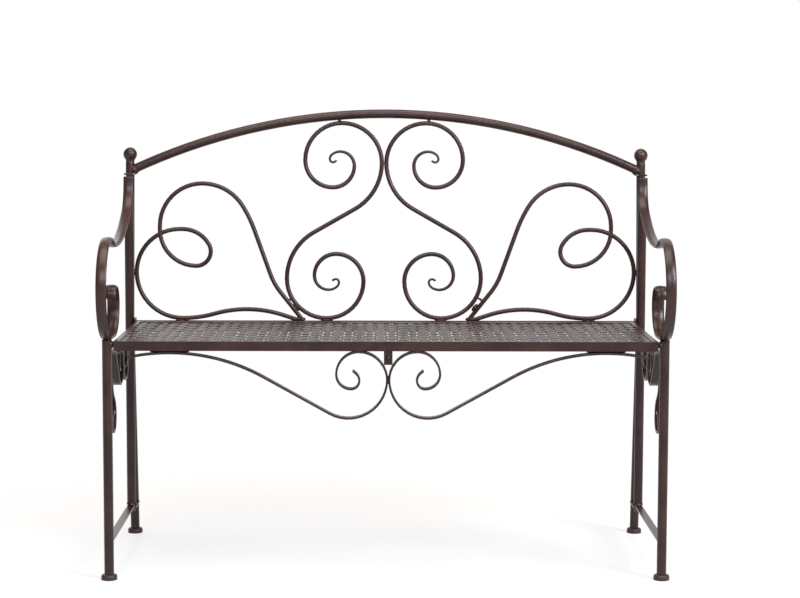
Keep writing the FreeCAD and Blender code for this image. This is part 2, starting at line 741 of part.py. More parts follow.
def make_foot(name, x, y, *socket):
    """A cap foot with a rounded top edge and a socket for the tube."""
    body = doc.addObject("PartDesign::Body", "Foot")
    outline = new_sketch(body, "Outline", "XY_Plane")
    draw_circle(outline, "0", "0", "foot_diameter")
    doc.recompute()
    pad = bind(body.newObject("PartDesign::Pad", "Cap"), Length="foot_height")
    pad.Profile = outline
    doc.recompute()
    rim = next(index for index, edge in enumerate(pad.Shape.Edges, 1)
               if len(edge.Vertexes) == 1 and edge.Vertexes[0].Z > value("foot_height") / 2)
    rounding = bind(body.newObject("PartDesign::Fillet", "Rim"), Radius="foot_round")
    rounding.Base = (pad, [f"Edge{rim}"])
    bore = cylinder("leg_diameter + 2 * socket_clearance", "foot_diameter", x, y, *socket)
    both_sides(cut(place(body, x, y), bore), name)


def make_feet():
    """Feet under the front legs and under the splayed ends of the posts."""
    make_foot("front_foot", "-leg_spread", "0", "foot_floor")
    make_foot("rear_foot", "-post_spread", POST_FOOT, POST_END, *SPLAYED)


# Seat
def make_seat_rails():
    """The four rails of the seat frame, with pivot holes and the notches that sit on the pegs."""
    inner = "(seat_half_length - seat_rail_width)"
    for name, y in (("front", "-seat_front"), ("back", SEAT_BACK)):
        bar = box(f"2 * {inner}", "seat_rail_width", "seat_rail_height", f"-{inner}", y, SEAT_BOTTOM)
        hollow = box(f"2 * {inner}", "seat_rail_width - 2 * seat_rail_wall",
                     "seat_rail_height - 2 * seat_rail_wall", f"-{inner}", f"{y} + seat_rail_wall",
                     f"{SEAT_BOTTOM} + seat_rail_wall")
        keep(cut(bar, hollow), f"seat_{name}_rail")
    bar = box("seat_rail_width", "pivot_setback + seat_front", "seat_rail_height", "-seat_half_length",
              "-seat_front", SEAT_BOTTOM)
    across = ("seat_rail_width", "-seat_half_length", "pivot_setback", PIVOT_HEIGHT, *ALONG_X)
    nose = cylinder("seat_rail_height", *across)
    hole = cylinder(PIVOT_HOLE, *across)
    room = "(peg_diameter + 2 * peg_clearance)"
    notch = box("seat_rail_width", room, f"seat_rail_height - peg_drop + {room} / 2", "-seat_half_length",
                f"-{room} / 2", SEAT_BOTTOM)
    both_sides(cut(fuse(bar, nose), hole, notch), "seat_side_rail")


def make_pivots():
    """Pivot lugs on the lower back rail, the pivot bolts and the pegs that carry the seat's front."""
    leg_side = f"(leg_spread - {LEG_RADIUS})"
    outer = f"({leg_side} - pivot_side_gap)"
    low = f"({SEAT_BOTTOM} - pivot_lug_drop)"
    axis = ("pivot_setback", PIVOT_HEIGHT, *ALONG_X)
    front = "(pivot_setback - seat_rail_height / 2)"
    plate = box("pivot_lug_thickness", f"knee_setback - rail_diameter / 2 + lug_lap - {front}",
                f"seat_top + pivot_lug_rise - {low}", f"-{outer}", front, low)
    hole = cylinder(PIVOT_HOLE, "pivot_lug_thickness", f"-{outer}", *axis)
    rail = cylinder("rail_diameter + 2 * weld_gap", "pivot_lug_thickness", f"-{outer}", "knee_setback",
                    "knee_height - rail_diameter / 2", *ALONG_X)
    both_sides(cut(plate, hole, rail), "pivot_lug")
    head_at = "(seat_half_length - seat_rail_width - bearing_gap)"
    shank = cylinder("pivot_diameter", f"{outer} - {head_at}", f"-{outer}", *axis)
    head = cylinder("pivot_head_diameter", "pivot_head_height", f"-{head_at}", *axis)
    bolt = fuse(shank, head)
    peg = cylinder("peg_diameter", "peg_length", f"-{leg_side}", "0", "seat_top - peg_drop", *ALONG_X)
    group("pivot_bolts", [bolt, mirrored(bolt)])
    group("seat_pegs", [peg, mirrored(peg)])


def spaced(middle, room):
    """Return the centres of as many straps as fit in a room, evenly about its middle."""
    pitch = value("strap_pitch")
    count = math.floor((room - value("strap_width + 2 * strap_edge_gap")) / pitch) + 1
    return [middle + (index - (count - 1) / 2) * pitch for index in range(count)]


def zigzag(start, end, crossings, first_over):
    """Return the (run, height) points of a strap's upper side as it goes over and under its crossings."""
    half = value("strap_width") / 2 + value("weave_flat")
    swing = value("(strap_thickness + weave_gap) / 2")
    points = []
    for index, centre in enumerate(crossings):
        height = swing if (index % 2 == 0) == first_over else -swing
        points += [(centre - half, height), (centre + half, height)]
    points[0] = (start, points[0][1])
    points[-1] = (end, points[-1][1])
    return points


def make_straps():
    """The flat straps woven through each other inside the seat frame."""
    inner = value("seat_half_length - seat_rail_width")
    front = value("seat_rail_width - seat_front")
    back = value(SEAT_BACK)
    middle = value("seat_top - strap_thickness - weave_gap / 2")
    thickness = value("strap_thickness")
    across = spaced(0, 2 * inner)
    along = spaced((front + back) / 2, back - front)

    def strap(points, at, direction):
        upper = [at(run, middle + height + thickness / 2) for run, height in points]
        lower = [at(run, middle + height - thickness / 2) for run, height in reversed(points)]
        outline = doc.addObject("Part::Feature", "Outline")
        outline.Shape = Part.Wire(Part.makePolygon(upper + lower + upper[:1]))
        solid = bind(doc.addObject("Part::Extrusion", "Strap"), LengthFwd="strap_width")
        solid.Base = outline
        solid.DirMode = "Custom"
        solid.Dir = direction
        solid.Solid = True
        solid.Symmetric = True
        return place(solid)

    long_straps, cross_straps = [], []
    for row, y in enumerate(along):
        points = zigzag(-inner, inner, across, row % 2 == 0)
        long_straps.append(strap(points, lambda x, z: Vector(x, y, z), (0, 1, 0)))
    for column, x in enumerate(across):
        points = zigzag(front, back, along, column % 2 == 1)
        cross_straps.append(strap(points, lambda y, z: Vector(x, y, z), (1, 0, 0)))
    group("seat_long_straps", long_straps)
    group("seat_cross_straps", cross_straps)


def make_apron():
    """The pair of scrolls under the front rail, and the riveted plate that ties them."""
    one, two, three, four = (f"apron_bend_{word}" for word in ("one", "two", "three", "four"))
    joint = "((apron_thickness + weld_gap) / 2)"
    crown = f"({SEAT_BOTTOM} - apron_thickness / 2 - weld_gap)"
    rounds = "(apron_foot_bend + apron_shoulder_bend)"
    slope = f"(({one} + apron_foot_bend - {rounds} * (1 - cos(apron_slope))) / sin(apron_slope))"
    fall = f"({rounds} * sin(apron_slope) + {slope} * cos(apron_slope))"
    crest = f"({joint} + apron_foot_bend + {fall})"
    bends = [
        ("right", "apron_shoulder_bend", "apron_slope"),
        ("run", slope),
        ("left", "apron_foot_bend", "90 + apron_slope"),
    ]
    bends += [("left", bend, "90") for bend in (one, two, three, four)]
    bends += [("left", "apron_tip_bend", "apron_tip_turn"), ("run", "apron_tip_run")]
    section = ("flat", "apron_width", "apron_thickness")
    droop = [("left", "apron_shoulder_bend", f"asin((apron_reach - {crest}) / apron_shoulder_bend)")]
    middle = "(apron_width / 2 + apron_setback - seat_front)"
    start = (f"-{crest}", crown)
    halves = [place(swept("Apron", "XZ_Plane", start, heading, chain, section), "apron_shift", middle)
              for heading, chain in ((PLUS, bends), (MINUS, droop))]
    both_sides(fuse(*halves), "apron_scroll", "apron_shift")
    corner = f"({joint} + {one} - plate_width / 2)"
    bottom = f"({crown} - {one} + sqrt(({one} + apron_thickness / 2 + weld_gap)^2 - {corner}^2))"
    face = "(seat_rail_width / 2 - seat_front - plate_thickness / 2)"
    height = f"(({bottom} + {SEAT_BOTTOM}) / 2)"
    plate = box("plate_width", "plate_thickness", f"{SEAT_BOTTOM} - {bottom}",
                "apron_shift - plate_width / 2", face, bottom)
    through = ("plate_thickness", "apron_shift", f"{face} + plate_thickness", height, *ALONG_Y)
    keep(cut(plate, cylinder("rivet_shank + 2 * running_gap", *through)), "apron_tie_plate")
    dome = add("Part::Sphere", "Dome", Radius="rivet_diameter / 2", Angle1="0")
    place(dome, "apron_shift", face, height, *ALONG_Y)
    keep(fuse(dome, cylinder("rivet_shank", *through)), "tie_plate_rivet")


def write_parts():
    """Check every object of the document and write one file for each node."""
    doc.recompute()
    for thing in doc.Objects:
        if "Invalid" in thing.State or "Error" in thing.State:
            raise RuntimeError(f"{thing.Name} ({thing.Label}) did not compute: {thing.State}")
    os.makedirs("parts", exist_ok=True)
    for label, thing in nodes.items():
        if thing.Shape.isNull() or not thing.Shape.isValid() or not thing.Shape.Solids:
            raise RuntimeError(f"{label} has no sound solid")
        thing.Shape.exportStep(f"parts/{label}.step")
        print(f"{label}: {len(thing.Shape.Solids)} solid(s), {thing.Shape.Volume / 1000:.2f} cm3")


make_posts()
make_finials()
make_rails()
make_scrolls()
make_loops()
make_legs()
make_arm()
make_side_volutes()
make_leg_curl()
make_stretcher()
make_hinges()
make_feet()
make_seat_rails()
make_pivots()
make_straps()
make_apron()
write_parts()
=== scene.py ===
"""Looks of the iron garden bench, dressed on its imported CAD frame.

Blender works in metres and the sizes here are millimetres. X runs along the bench, +Y to the back, +Z up.
"""
import json
import logging
import math
import random
from collections.abc import Sequence
from dataclasses import dataclass, field
from enum import Enum

import bmesh
import bpy
from mathutils import Matrix, Vector


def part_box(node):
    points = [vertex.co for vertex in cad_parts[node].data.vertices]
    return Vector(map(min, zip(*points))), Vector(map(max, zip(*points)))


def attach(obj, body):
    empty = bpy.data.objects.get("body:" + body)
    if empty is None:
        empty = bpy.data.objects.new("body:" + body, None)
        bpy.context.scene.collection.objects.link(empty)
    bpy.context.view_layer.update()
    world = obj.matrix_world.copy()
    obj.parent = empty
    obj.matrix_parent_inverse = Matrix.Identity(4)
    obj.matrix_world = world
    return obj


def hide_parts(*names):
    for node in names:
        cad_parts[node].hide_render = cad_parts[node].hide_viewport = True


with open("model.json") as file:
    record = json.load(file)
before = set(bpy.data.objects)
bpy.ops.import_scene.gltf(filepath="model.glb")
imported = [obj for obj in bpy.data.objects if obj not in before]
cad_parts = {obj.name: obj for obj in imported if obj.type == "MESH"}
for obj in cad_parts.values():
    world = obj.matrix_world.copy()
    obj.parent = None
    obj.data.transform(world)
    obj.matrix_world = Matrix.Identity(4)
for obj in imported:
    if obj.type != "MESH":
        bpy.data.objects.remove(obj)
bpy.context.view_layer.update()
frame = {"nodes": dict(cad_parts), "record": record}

LOG = logging.getLogger("garden_bench")
MM = 0.001
LEG_Y = sum(corner.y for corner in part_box("left_front_leg")) / 2 / MM
# How far apart the rings are that draw a bend: along it, and in its turn.
RING_MM = 12
RING_DEGREES = 9
# Edges with a larger angle than this stay sharp in the light.
CREASE_DEGREES = 40


class Body(Enum):
    """Bodies of the frame that a piece can ride on."""

    FRAME = "frame"
    SEAT = "seat"


class Slot(Enum):
    """Material slots of the record."""

    IRON = "painted_iron"
    STEEL = "pin_steel"
    NYLON = "bush_nylon"
    CAP = "foot_cap"


class Turn(Enum):
    """Which way a bar is bent, seen from the side that its plane's normal points to."""

    LEFT = 1
    RIGHT = -1


class Side(Enum):
    """The two ends of the bench."""

    LEFT = -1
    RIGHT = 1

    @property
    def word(self) -> str:
        """Return the side's word in the names of nodes."""
        return self.name.lower()


def linear(code: str) -> tuple[float, float, float, float]:
    """Turn an sRGB hex colour into linear light.

    Args:
        code: Six hex digits.

    Returns:
        Red, green, blue and an alpha of 1.
    """
    parts = [int(code[i:i + 2], 16) / 255 for i in (0, 2, 4)]
    return (*(p / 12.92 if p <= 0.04045 else ((p + 0.055) / 1.055) ** 2.4 for p in parts), 1.0)


def add_node(tree: bpy.types.NodeTree, kind: str, inputs: dict | None = None,
             **settings: object) -> bpy.types.Node:
    """Add a node with its settings, values and links.

    Args:
        tree: The tree that gets the node.
        kind: The node's type.
        inputs: Values or sockets to link, by the input's name or number.
        **settings: Properties of the node.

    Returns:
        The new node.
    """
    node = tree.nodes.new(kind)
    for name, setting in settings.items():
        setattr(node, name, setting)
    for key, item in (inputs or {}).items():
        if isinstance(item, bpy.types.NodeSocket):
            tree.links.new(item, node.inputs[key])
        else:
            node.inputs[key].default_value = item
    return node


def per_metre(size: float) -> float:
    """Return the scale of a texture whose features are a size in millimetres."""
    return 1 / (size * MM)


def start_material(name: str) -> tuple[bpy.types.Material, bpy.types.Node, bpy.types.NodeSocket]:
    """Start a material.

    Args:
        name: The material's name.

    Returns:
        The material, its shader and the coordinates that its patterns read.
    """
    material = bpy.data.materials.new(name)
    material.use_nodes = True
    tree = material.node_tree
    return material, tree.nodes["Principled BSDF"], add_node(tree, "ShaderNodeTexCoord").outputs["Object"]


@dataclass(frozen=True)
class PaintedIron:
    """Wrought iron bar, sprayed with brown paint that dries semi-matt."""

    # To the eye it is a dark brown with long soft highlights on the rods. Two browns lie in faint clouds, and
    # the paint is paler in flecks where it is rubbed. The spray's orange peel is about 1 mm wide, too fine to
    # show here, so the grit is drawn coarser. The hammer's dents are wide and shallow.
    name: str = "painted_wrought_iron"
    dark: str = "2a1918"
    warm: str = "382420"
    rubbed: str = "3f2d2a"
    cloud_mm: float = 70
    cloud_range: tuple[float, float] = (0.35, 0.65)
    grit_mm: float = 2.5
    grit_range: tuple[float, float] = (0.3, 0.7)
    fleck_mm: float = 9
    fleck_range: tuple[float, float] = (0.62, 0.75)
    dent_mm: float = 18
    noise_roughness: float = 0.55
    roughness: float = 0.31
    roughness_spread: float = 0.02
    specular: float = 0.34
    peel_depth_mm: float = 0.005
    dent_depth_mm: float = 0.04

    def build(self) -> bpy.types.Material:
        """Build the paint.

        Returns:
            The material.
        """
        material, shader, place = start_material(self.name)
        tree = material.node_tree
        cloud, grit, fleck, dent = (
            add_node(tree, "ShaderNodeTexNoise", {
                "Vector": place, "Scale": per_metre(size), "Detail": detail,
                "Roughness": self.noise_roughness}).outputs["Fac"]
            for size, detail in ((self.cloud_mm, 3), (self.grit_mm, 2), (self.fleck_mm, 4), (self.dent_mm, 1)))
        rough = (self.roughness - self.roughness_spread, self.roughness + self.roughness_spread)
        clouded, worn, satin = (
            add_node(tree, "ShaderNodeMapRange", {
                "Value": value, "From Min": low, "From Max": high, "To Min": least, "To Max": most},
                interpolation_type="SMOOTHSTEP").outputs[0]
            for value, (low, high), (least, most) in (
                (cloud, self.cloud_range, (0.0, 1.0)), (fleck, self.fleck_range, (0.0, 1.0)),
                (grit, self.grit_range, rough)))
        paint = add_node(tree, "ShaderNodeMix", {0: clouded, 6: linear(self.dark), 7: linear(self.warm)},
                         data_type="RGBA").outputs[2]
        colour = add_node(tree, "ShaderNodeMix", {0: worn, 6: paint, 7: linear(self.rubbed)}, data_type="RGBA")
        dents = add_node(tree, "ShaderNodeBump", {
            "Height": dent, "Strength": 1.0, "Distance": self.dent_depth_mm * MM})
        peel = add_node(tree, "ShaderNodeBump", {
            "Height": grit, "Strength": 1.0, "Normal": dents.outputs[0], "Distance": self.peel_depth_mm * MM})
        tree.links.new(colour.outputs[2], shader.inputs["Base Color"])
        tree.links.new(satin, shader.inputs["Roughness"])
        tree.links.new(peel.outputs[0], shader.inputs["Normal"])
        shader.inputs["Specular IOR Level"].default_value = self.specular
        return material


@dataclass(frozen=True)
class Moulded:
    """Injection-moulded plastic: nylon bushes and polyethylene foot caps."""

    # To the eye it is dull and even, with a faint grain of the mould that spreads the highlight.
    name: str
    shade: str
    worn: str
    grain_mm: float = 3
    roughness: float = 0.5
    grain_depth_mm: float = 0.08

    def build(self) -> bpy.types.Material:
        """Build the plastic.

        Returns:
            The material.
        """
        material, shader, place = start_material(self.name)
        tree = material.node_tree
        grain = add_node(tree, "ShaderNodeTexNoise", {
            "Vector": place, "Scale": per_metre(self.grain_mm)}).outputs["Fac"]
        colour = add_node(tree, "ShaderNodeMix", {0: grain, 6: linear(self.shade), 7: linear(self.worn)},
                          data_type="RGBA")
        bump = add_node(tree, "ShaderNodeBump", {"Height": grain, "Distance": self.grain_depth_mm * MM})
        tree.links.new(colour.outputs[2], shader.inputs["Base Color"])
        tree.links.new(bump.outputs[0], shader.inputs["Normal"])
        shader.inputs["Roughness"].default_value = self.roughness
        return material


@dataclass(frozen=True)
class PlatedSteel:
    """Turned steel pins and bolts with a dull zinc plating."""

    # To the eye it is a grey metal with a broad highlight and blotches where the plating has tarnished.
    name: str = "plated_steel"
    shade: str = "6a625c"
    tarnish: str = "3f3834"
    blotch_mm: float = 6
    roughness: float = 0.4

    def build(self) -> bpy.types.Material:
        """Build the steel.

        Returns:
            The material.
        """
        material, shader, place = start_material(self.name)
        tree = material.node_tree
        blotch = add_node(tree, "ShaderNodeTexNoise", {
            "Vector": place, "Scale": per_metre(self.blotch_mm)}).outputs["Fac"]
        colour = add_node(tree, "ShaderNodeMix", {0: blotch, 6: linear(self.shade), 7: linear(self.tarnish)},
                          data_type="RGBA")
        tree.links.new(colour.outputs[2], shader.inputs["Base Color"])
        shader.inputs["Metallic"].default_value = 1.0
        shader.inputs["Roughness"].default_value = self.roughness
        return material


@dataclass
class Finishes:
    """The built materials by the record's slot."""

    by_slot: dict[Slot, bpy.types.Material] = field(default_factory=dict)

    def build(self) -> None:
        """Build every material once."""
        self.by_slot = {
            Slot.IRON: PaintedIron().build(),
            Slot.STEEL: PlatedSteel().build(),
            Slot.NYLON: Moulded("moulded_nylon", "1f1c1c", "2a2626").build(),
            Slot.CAP: Moulded("moulded_foot_cap", "2a1d1a", "3a2924").build(),
        }


def dress(obj: bpy.types.Object, finish: bpy.types.Material) -> None:
    """Give an object one material in place of what it had."""
    obj.data.materials.clear()
    obj.data.materials.append(finish)


def make_piece(name: str, bm: bmesh.types.BMesh, finishes: Finishes, body: Body,
               replaced: tuple[str, ...] = (), flat_faces: bool = False) -> None:
    """Turn a bmesh into a piece of painted iron that rides on a body.

    Args:
        name: The piece's name.
        bm: Its mesh in place, which is freed.
        finishes: The built materials.
        body: The body that it rides on.
        replaced: CAD nodes that it stands for.
        flat_faces: Whether wide faces stay flat in the light between rounded edges.
    """
    bmesh.ops.recalc_face_normals(bm, faces=bm.faces[:])
    mesh = bpy.data.meshes.new(name)
    bm.to_mesh(mesh)
    bm.free()
    mesh.shade_smooth()
    mesh.set_sharp_from_angle(angle=math.radians(CREASE_DEGREES))
    obj = bpy.data.objects.new(name, mesh)
    bpy.context.scene.collection.objects.link(obj)
    if flat_faces:
        obj.modifiers.new("flat_faces", "WEIGHTED_NORMAL").keep_sharp = True
    dress(obj, finishes.by_slot[Slot.IRON])
    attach(obj, body.value)
    if replaced:
        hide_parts(*replaced)
    LOG.info("%s: %d faces on %s", name, len(mesh.polygons), body.value)


@dataclass(frozen=True)
class Plane:
    """A flat sheet in space that bars are drawn on; its points are in millimetres."""

    origin: Vector
    across: Vector
    up: Vector

    @property
    def normal(self) -> Vector:
        """Return the direction from which a left turn looks like one."""
        return self.across.cross(self.up)

    def at(self, u: float, v: float) -> Vector:
        """Return a point of the sheet in metres."""
        return (self.origin + self.across * u + self.up * v) * MM

    def toward(self, degrees: float) -> Vector:
        """Return a direction in the sheet, by its angle from across."""
        angle = math.radians(degrees)
        return self.across * math.cos(angle) + self.up * math.sin(angle)

    def basis(self, u: float, v: float, degrees: float) -> Matrix:
        """Set up a frame at a point, with Y along the sheet's normal.

        Args:
            u: The point's distance across.
            v: Its distance up.
            degrees: The direction of the frame's Z, from across.

        Returns:
            The frame in metres.
        """
        ahead, normal = self.toward(degrees), self.normal
        turned = Matrix((normal.cross(ahead), normal, ahead)).transposed().to_4x4()
        return Matrix.Translation(self.at(u, v)) @ turned


@dataclass(frozen=True)
class Section:
    """The cross-section of a bar, oval or round when it has no edge."""

    width: float
    thickness: float
    edge: float = 0.0
    sides: int = 16

    def draw(self, bm: bmesh.types.BMesh, basis: Matrix, scale: float) -> bmesh.types.BMFace:
        """Draw the section in an empty mesh, square to the basis.

        Args:
            bm: The mesh.
            basis: A frame whose Z runs along the bar and Y along the width.
            scale: How much of the full size it has.

        Returns:
            The section's face.
        """
        size = Matrix.Diagonal((self.thickness * scale * MM, self.width * scale * MM, 1, 1))
        if not self.edge:
            bmesh.ops.create_circle(bm, cap_ends=True, segments=self.sides, radius=0.5, matrix=basis @ size)
            return bm.faces[:][0]
        bmesh.ops.create_grid(bm, x_segments=1, y_segments=1, size=0.5, matrix=basis @ size)
        bmesh.ops.bevel(bm, geom=bm.verts[:], offset=self.edge * scale * MM, offset_type="OFFSET", segments=3,
                        profile=0.5, affect="VERTICES", material=-1)
        return bm.faces[:][0]


@dataclass(frozen=True)
class Bend:
    """One stretch of a bar: an arc, or a straight run where the turn is None."""

    turn: Turn | None
    radius: float
    sweep: float = 0.0

    @property
    def length(self) -> float:
        """Return the length along the bar's middle."""
        return self.radius * math.radians(self.sweep) if self.turn else self.radius

    @property
    def steps(self) -> int:
        """Return how many rings draw it."""
        by_turn = max(math.ceil(self.length / RING_MM), math.ceil(self.sweep / RING_DEGREES), 1)
        return by_turn if self.turn else 1


def run(length: float) -> Bend:
    """Return a straight stretch."""
    return Bend(None, length)


def left(radius: float, sweep: float = 90) -> Bend:
    """Return an arc to the left."""
    return Bend(Turn.LEFT, radius, sweep)


def right(radius: float, sweep: float = 90) -> Bend:
    """Return an arc to the right."""
    return Bend(Turn.RIGHT, radius, sweep)


def walk(heading: float, bends: list[Bend]) -> tuple[float, float]:
    """Follow runs and arcs.

    Args:
        heading: The direction at the start in degrees from across.
        bends: The stretches in order.

    Returns:
        How far the end lies from the start, across and up.
    """
    u = v = 0.0
    angle = math.radians(heading)
    for bend in bends:
        if bend.turn:
            after = angle + bend.turn.value * math.radians(bend.sweep)
            u += bend.turn.value * bend.radius * (math.sin(after) - math.sin(angle))
            v += bend.turn.value * bend.radius * (math.cos(angle) - math.cos(after))
            angle = after
        else:
            u += bend.length * math.cos(angle)
            v += bend.length * math.sin(angle)
    return u, v


@dataclass
class Bar:
    """A bar bent along runs and arcs in a plane, with another section at its tapered ends."""

    plane: Plane
    section: Section
    start: tuple[float, float]
    heading: float
    bends: list[Bend]
    tip_round: float = 1.0
    tip_share: float = 1.0
    taper: float = 0.0
    first_only: bool = False

    def share(self, done: float, total: float) -> float:
        """Work out how thick the bar is along its taper.

        Args:
            done: The distance from the bar's start.
            total: The bar's length.

        Returns:
            The share of the full section there.
        """
        if not self.taper:
            return 1.0
        t = min(1.0, (done if self.first_only else min(done, total - done)) / self.taper)
        return self.tip_share + (1 - self.tip_share) * t * t * (3 - 2 * t)

    def build(self) -> bmesh.types.BMesh:
        """Push the section along the bends.

        Returns:
            The closed mesh of the bar.
        """
        bm = bmesh.new()
        normal, ahead, at = self.plane.normal, self.plane.toward(self.heading), self.plane.at(*self.start)
        total, done = sum(bend.length for bend in self.bends), 0.0
        first = self.section.draw(bm, self.plane.basis(*self.start, self.heading), self.share(0, total))
        ring = first.edges[:]
        for bend in self.bends:
            for _ in range(bend.steps):
                pushed = bmesh.ops.extrude_edge_only(bm, edges=ring)["geom"]
                verts = [item for item in pushed if isinstance(item, bmesh.types.BMVert)]
                fresh = set(verts)
                ring = [item for item in pushed
                        if isinstance(item, bmesh.types.BMEdge) and fresh.issuperset(item.verts)]
                part = bend.length / bend.steps
                if bend.turn:
                    centre = at + normal.cross(ahead) * (bend.turn.value * bend.radius * MM)
                    turn = Matrix.Rotation(bend.turn.value * part / bend.radius, 3, normal)
                    bmesh.ops.rotate(bm, cent=centre, matrix=turn, verts=verts)
                    at, ahead = centre + turn @ (at - centre), turn @ ahead
                else:
                    bmesh.ops.translate(bm, vec=ahead * (part * MM), verts=verts)
                    at = at + ahead * (part * MM)
                growth = self.share(done + part, total) / self.share(done, total)
                bmesh.ops.scale(bm, vec=(growth,) * 3, space=Matrix.Translation(-at), verts=verts)
                done += part
        last = bmesh.ops.edgeloop_fill(bm, edges=ring)["faces"][0]
        rims = [*first.edges, *last.edges]
        bmesh.ops.bevel(bm, geom=rims, offset=self.tip_round * MM, offset_type="OFFSET", segments=3,
                        profile=0.5, affect="EDGES", clamp_overlap=True, material=-1)
        return bm


def lathe(profile: Sequence[tuple[float, float]], basis: Matrix, steps: int = 28) -> bmesh.types.BMesh:
    """Turn a profile about the Z of a frame.

    Args:
        profile: Radius and height in millimetres, from pole to pole.
        basis: The frame that it stands in.
        steps: How many sides the turned piece has.

    Returns:
        The closed mesh.
    """
    bm = bmesh.new()
    points = [bm.verts.new((radius * MM, 0, height * MM)) for radius, height in profile]
    edges = [bm.edges.new(pair) for pair in zip(points, points[1:])]
    bmesh.ops.spin(bm, geom=[*points, *edges], cent=(0, 0, 0), axis=(0, 0, 1), angle=math.tau, steps=steps,
                   use_merge=True)
    bmesh.ops.remove_doubles(bm, verts=bm.verts[:], dist=0.01 * MM)
    bmesh.ops.transform(bm, matrix=basis, verts=bm.verts[:])
    return bm


def join(target: bmesh.types.BMesh, other: bmesh.types.BMesh) -> None:
    """Move the mesh of one bmesh into another.

    Args:
        target: The bmesh that grows.
        other: The bmesh that is added, which is freed.
    """
    mesh = bpy.data.meshes.new("part")
    other.to_mesh(mesh)
    other.free()
    target.from_mesh(mesh)
    bpy.data.meshes.remove(mesh)


def back_plane(shift: float, side: Side) -> Plane:
    """Set up the leaning plane of the back, from the knee line of its posts.

    Args:
        shift: How far along X its middle is.
        side: The half where across points to the middle, so that a right-hand bar is the left one's mirror.

    Returns:
        The plane.
    """
    lean = math.radians(Back.lean)
    origin = Vector((shift, LEG_Y + Back.knee_setback, Back.knee_height))
    return Plane(origin, Vector((-side.value, 0, 0)), Vector((0, math.sin(lean), math.cos(lean))))


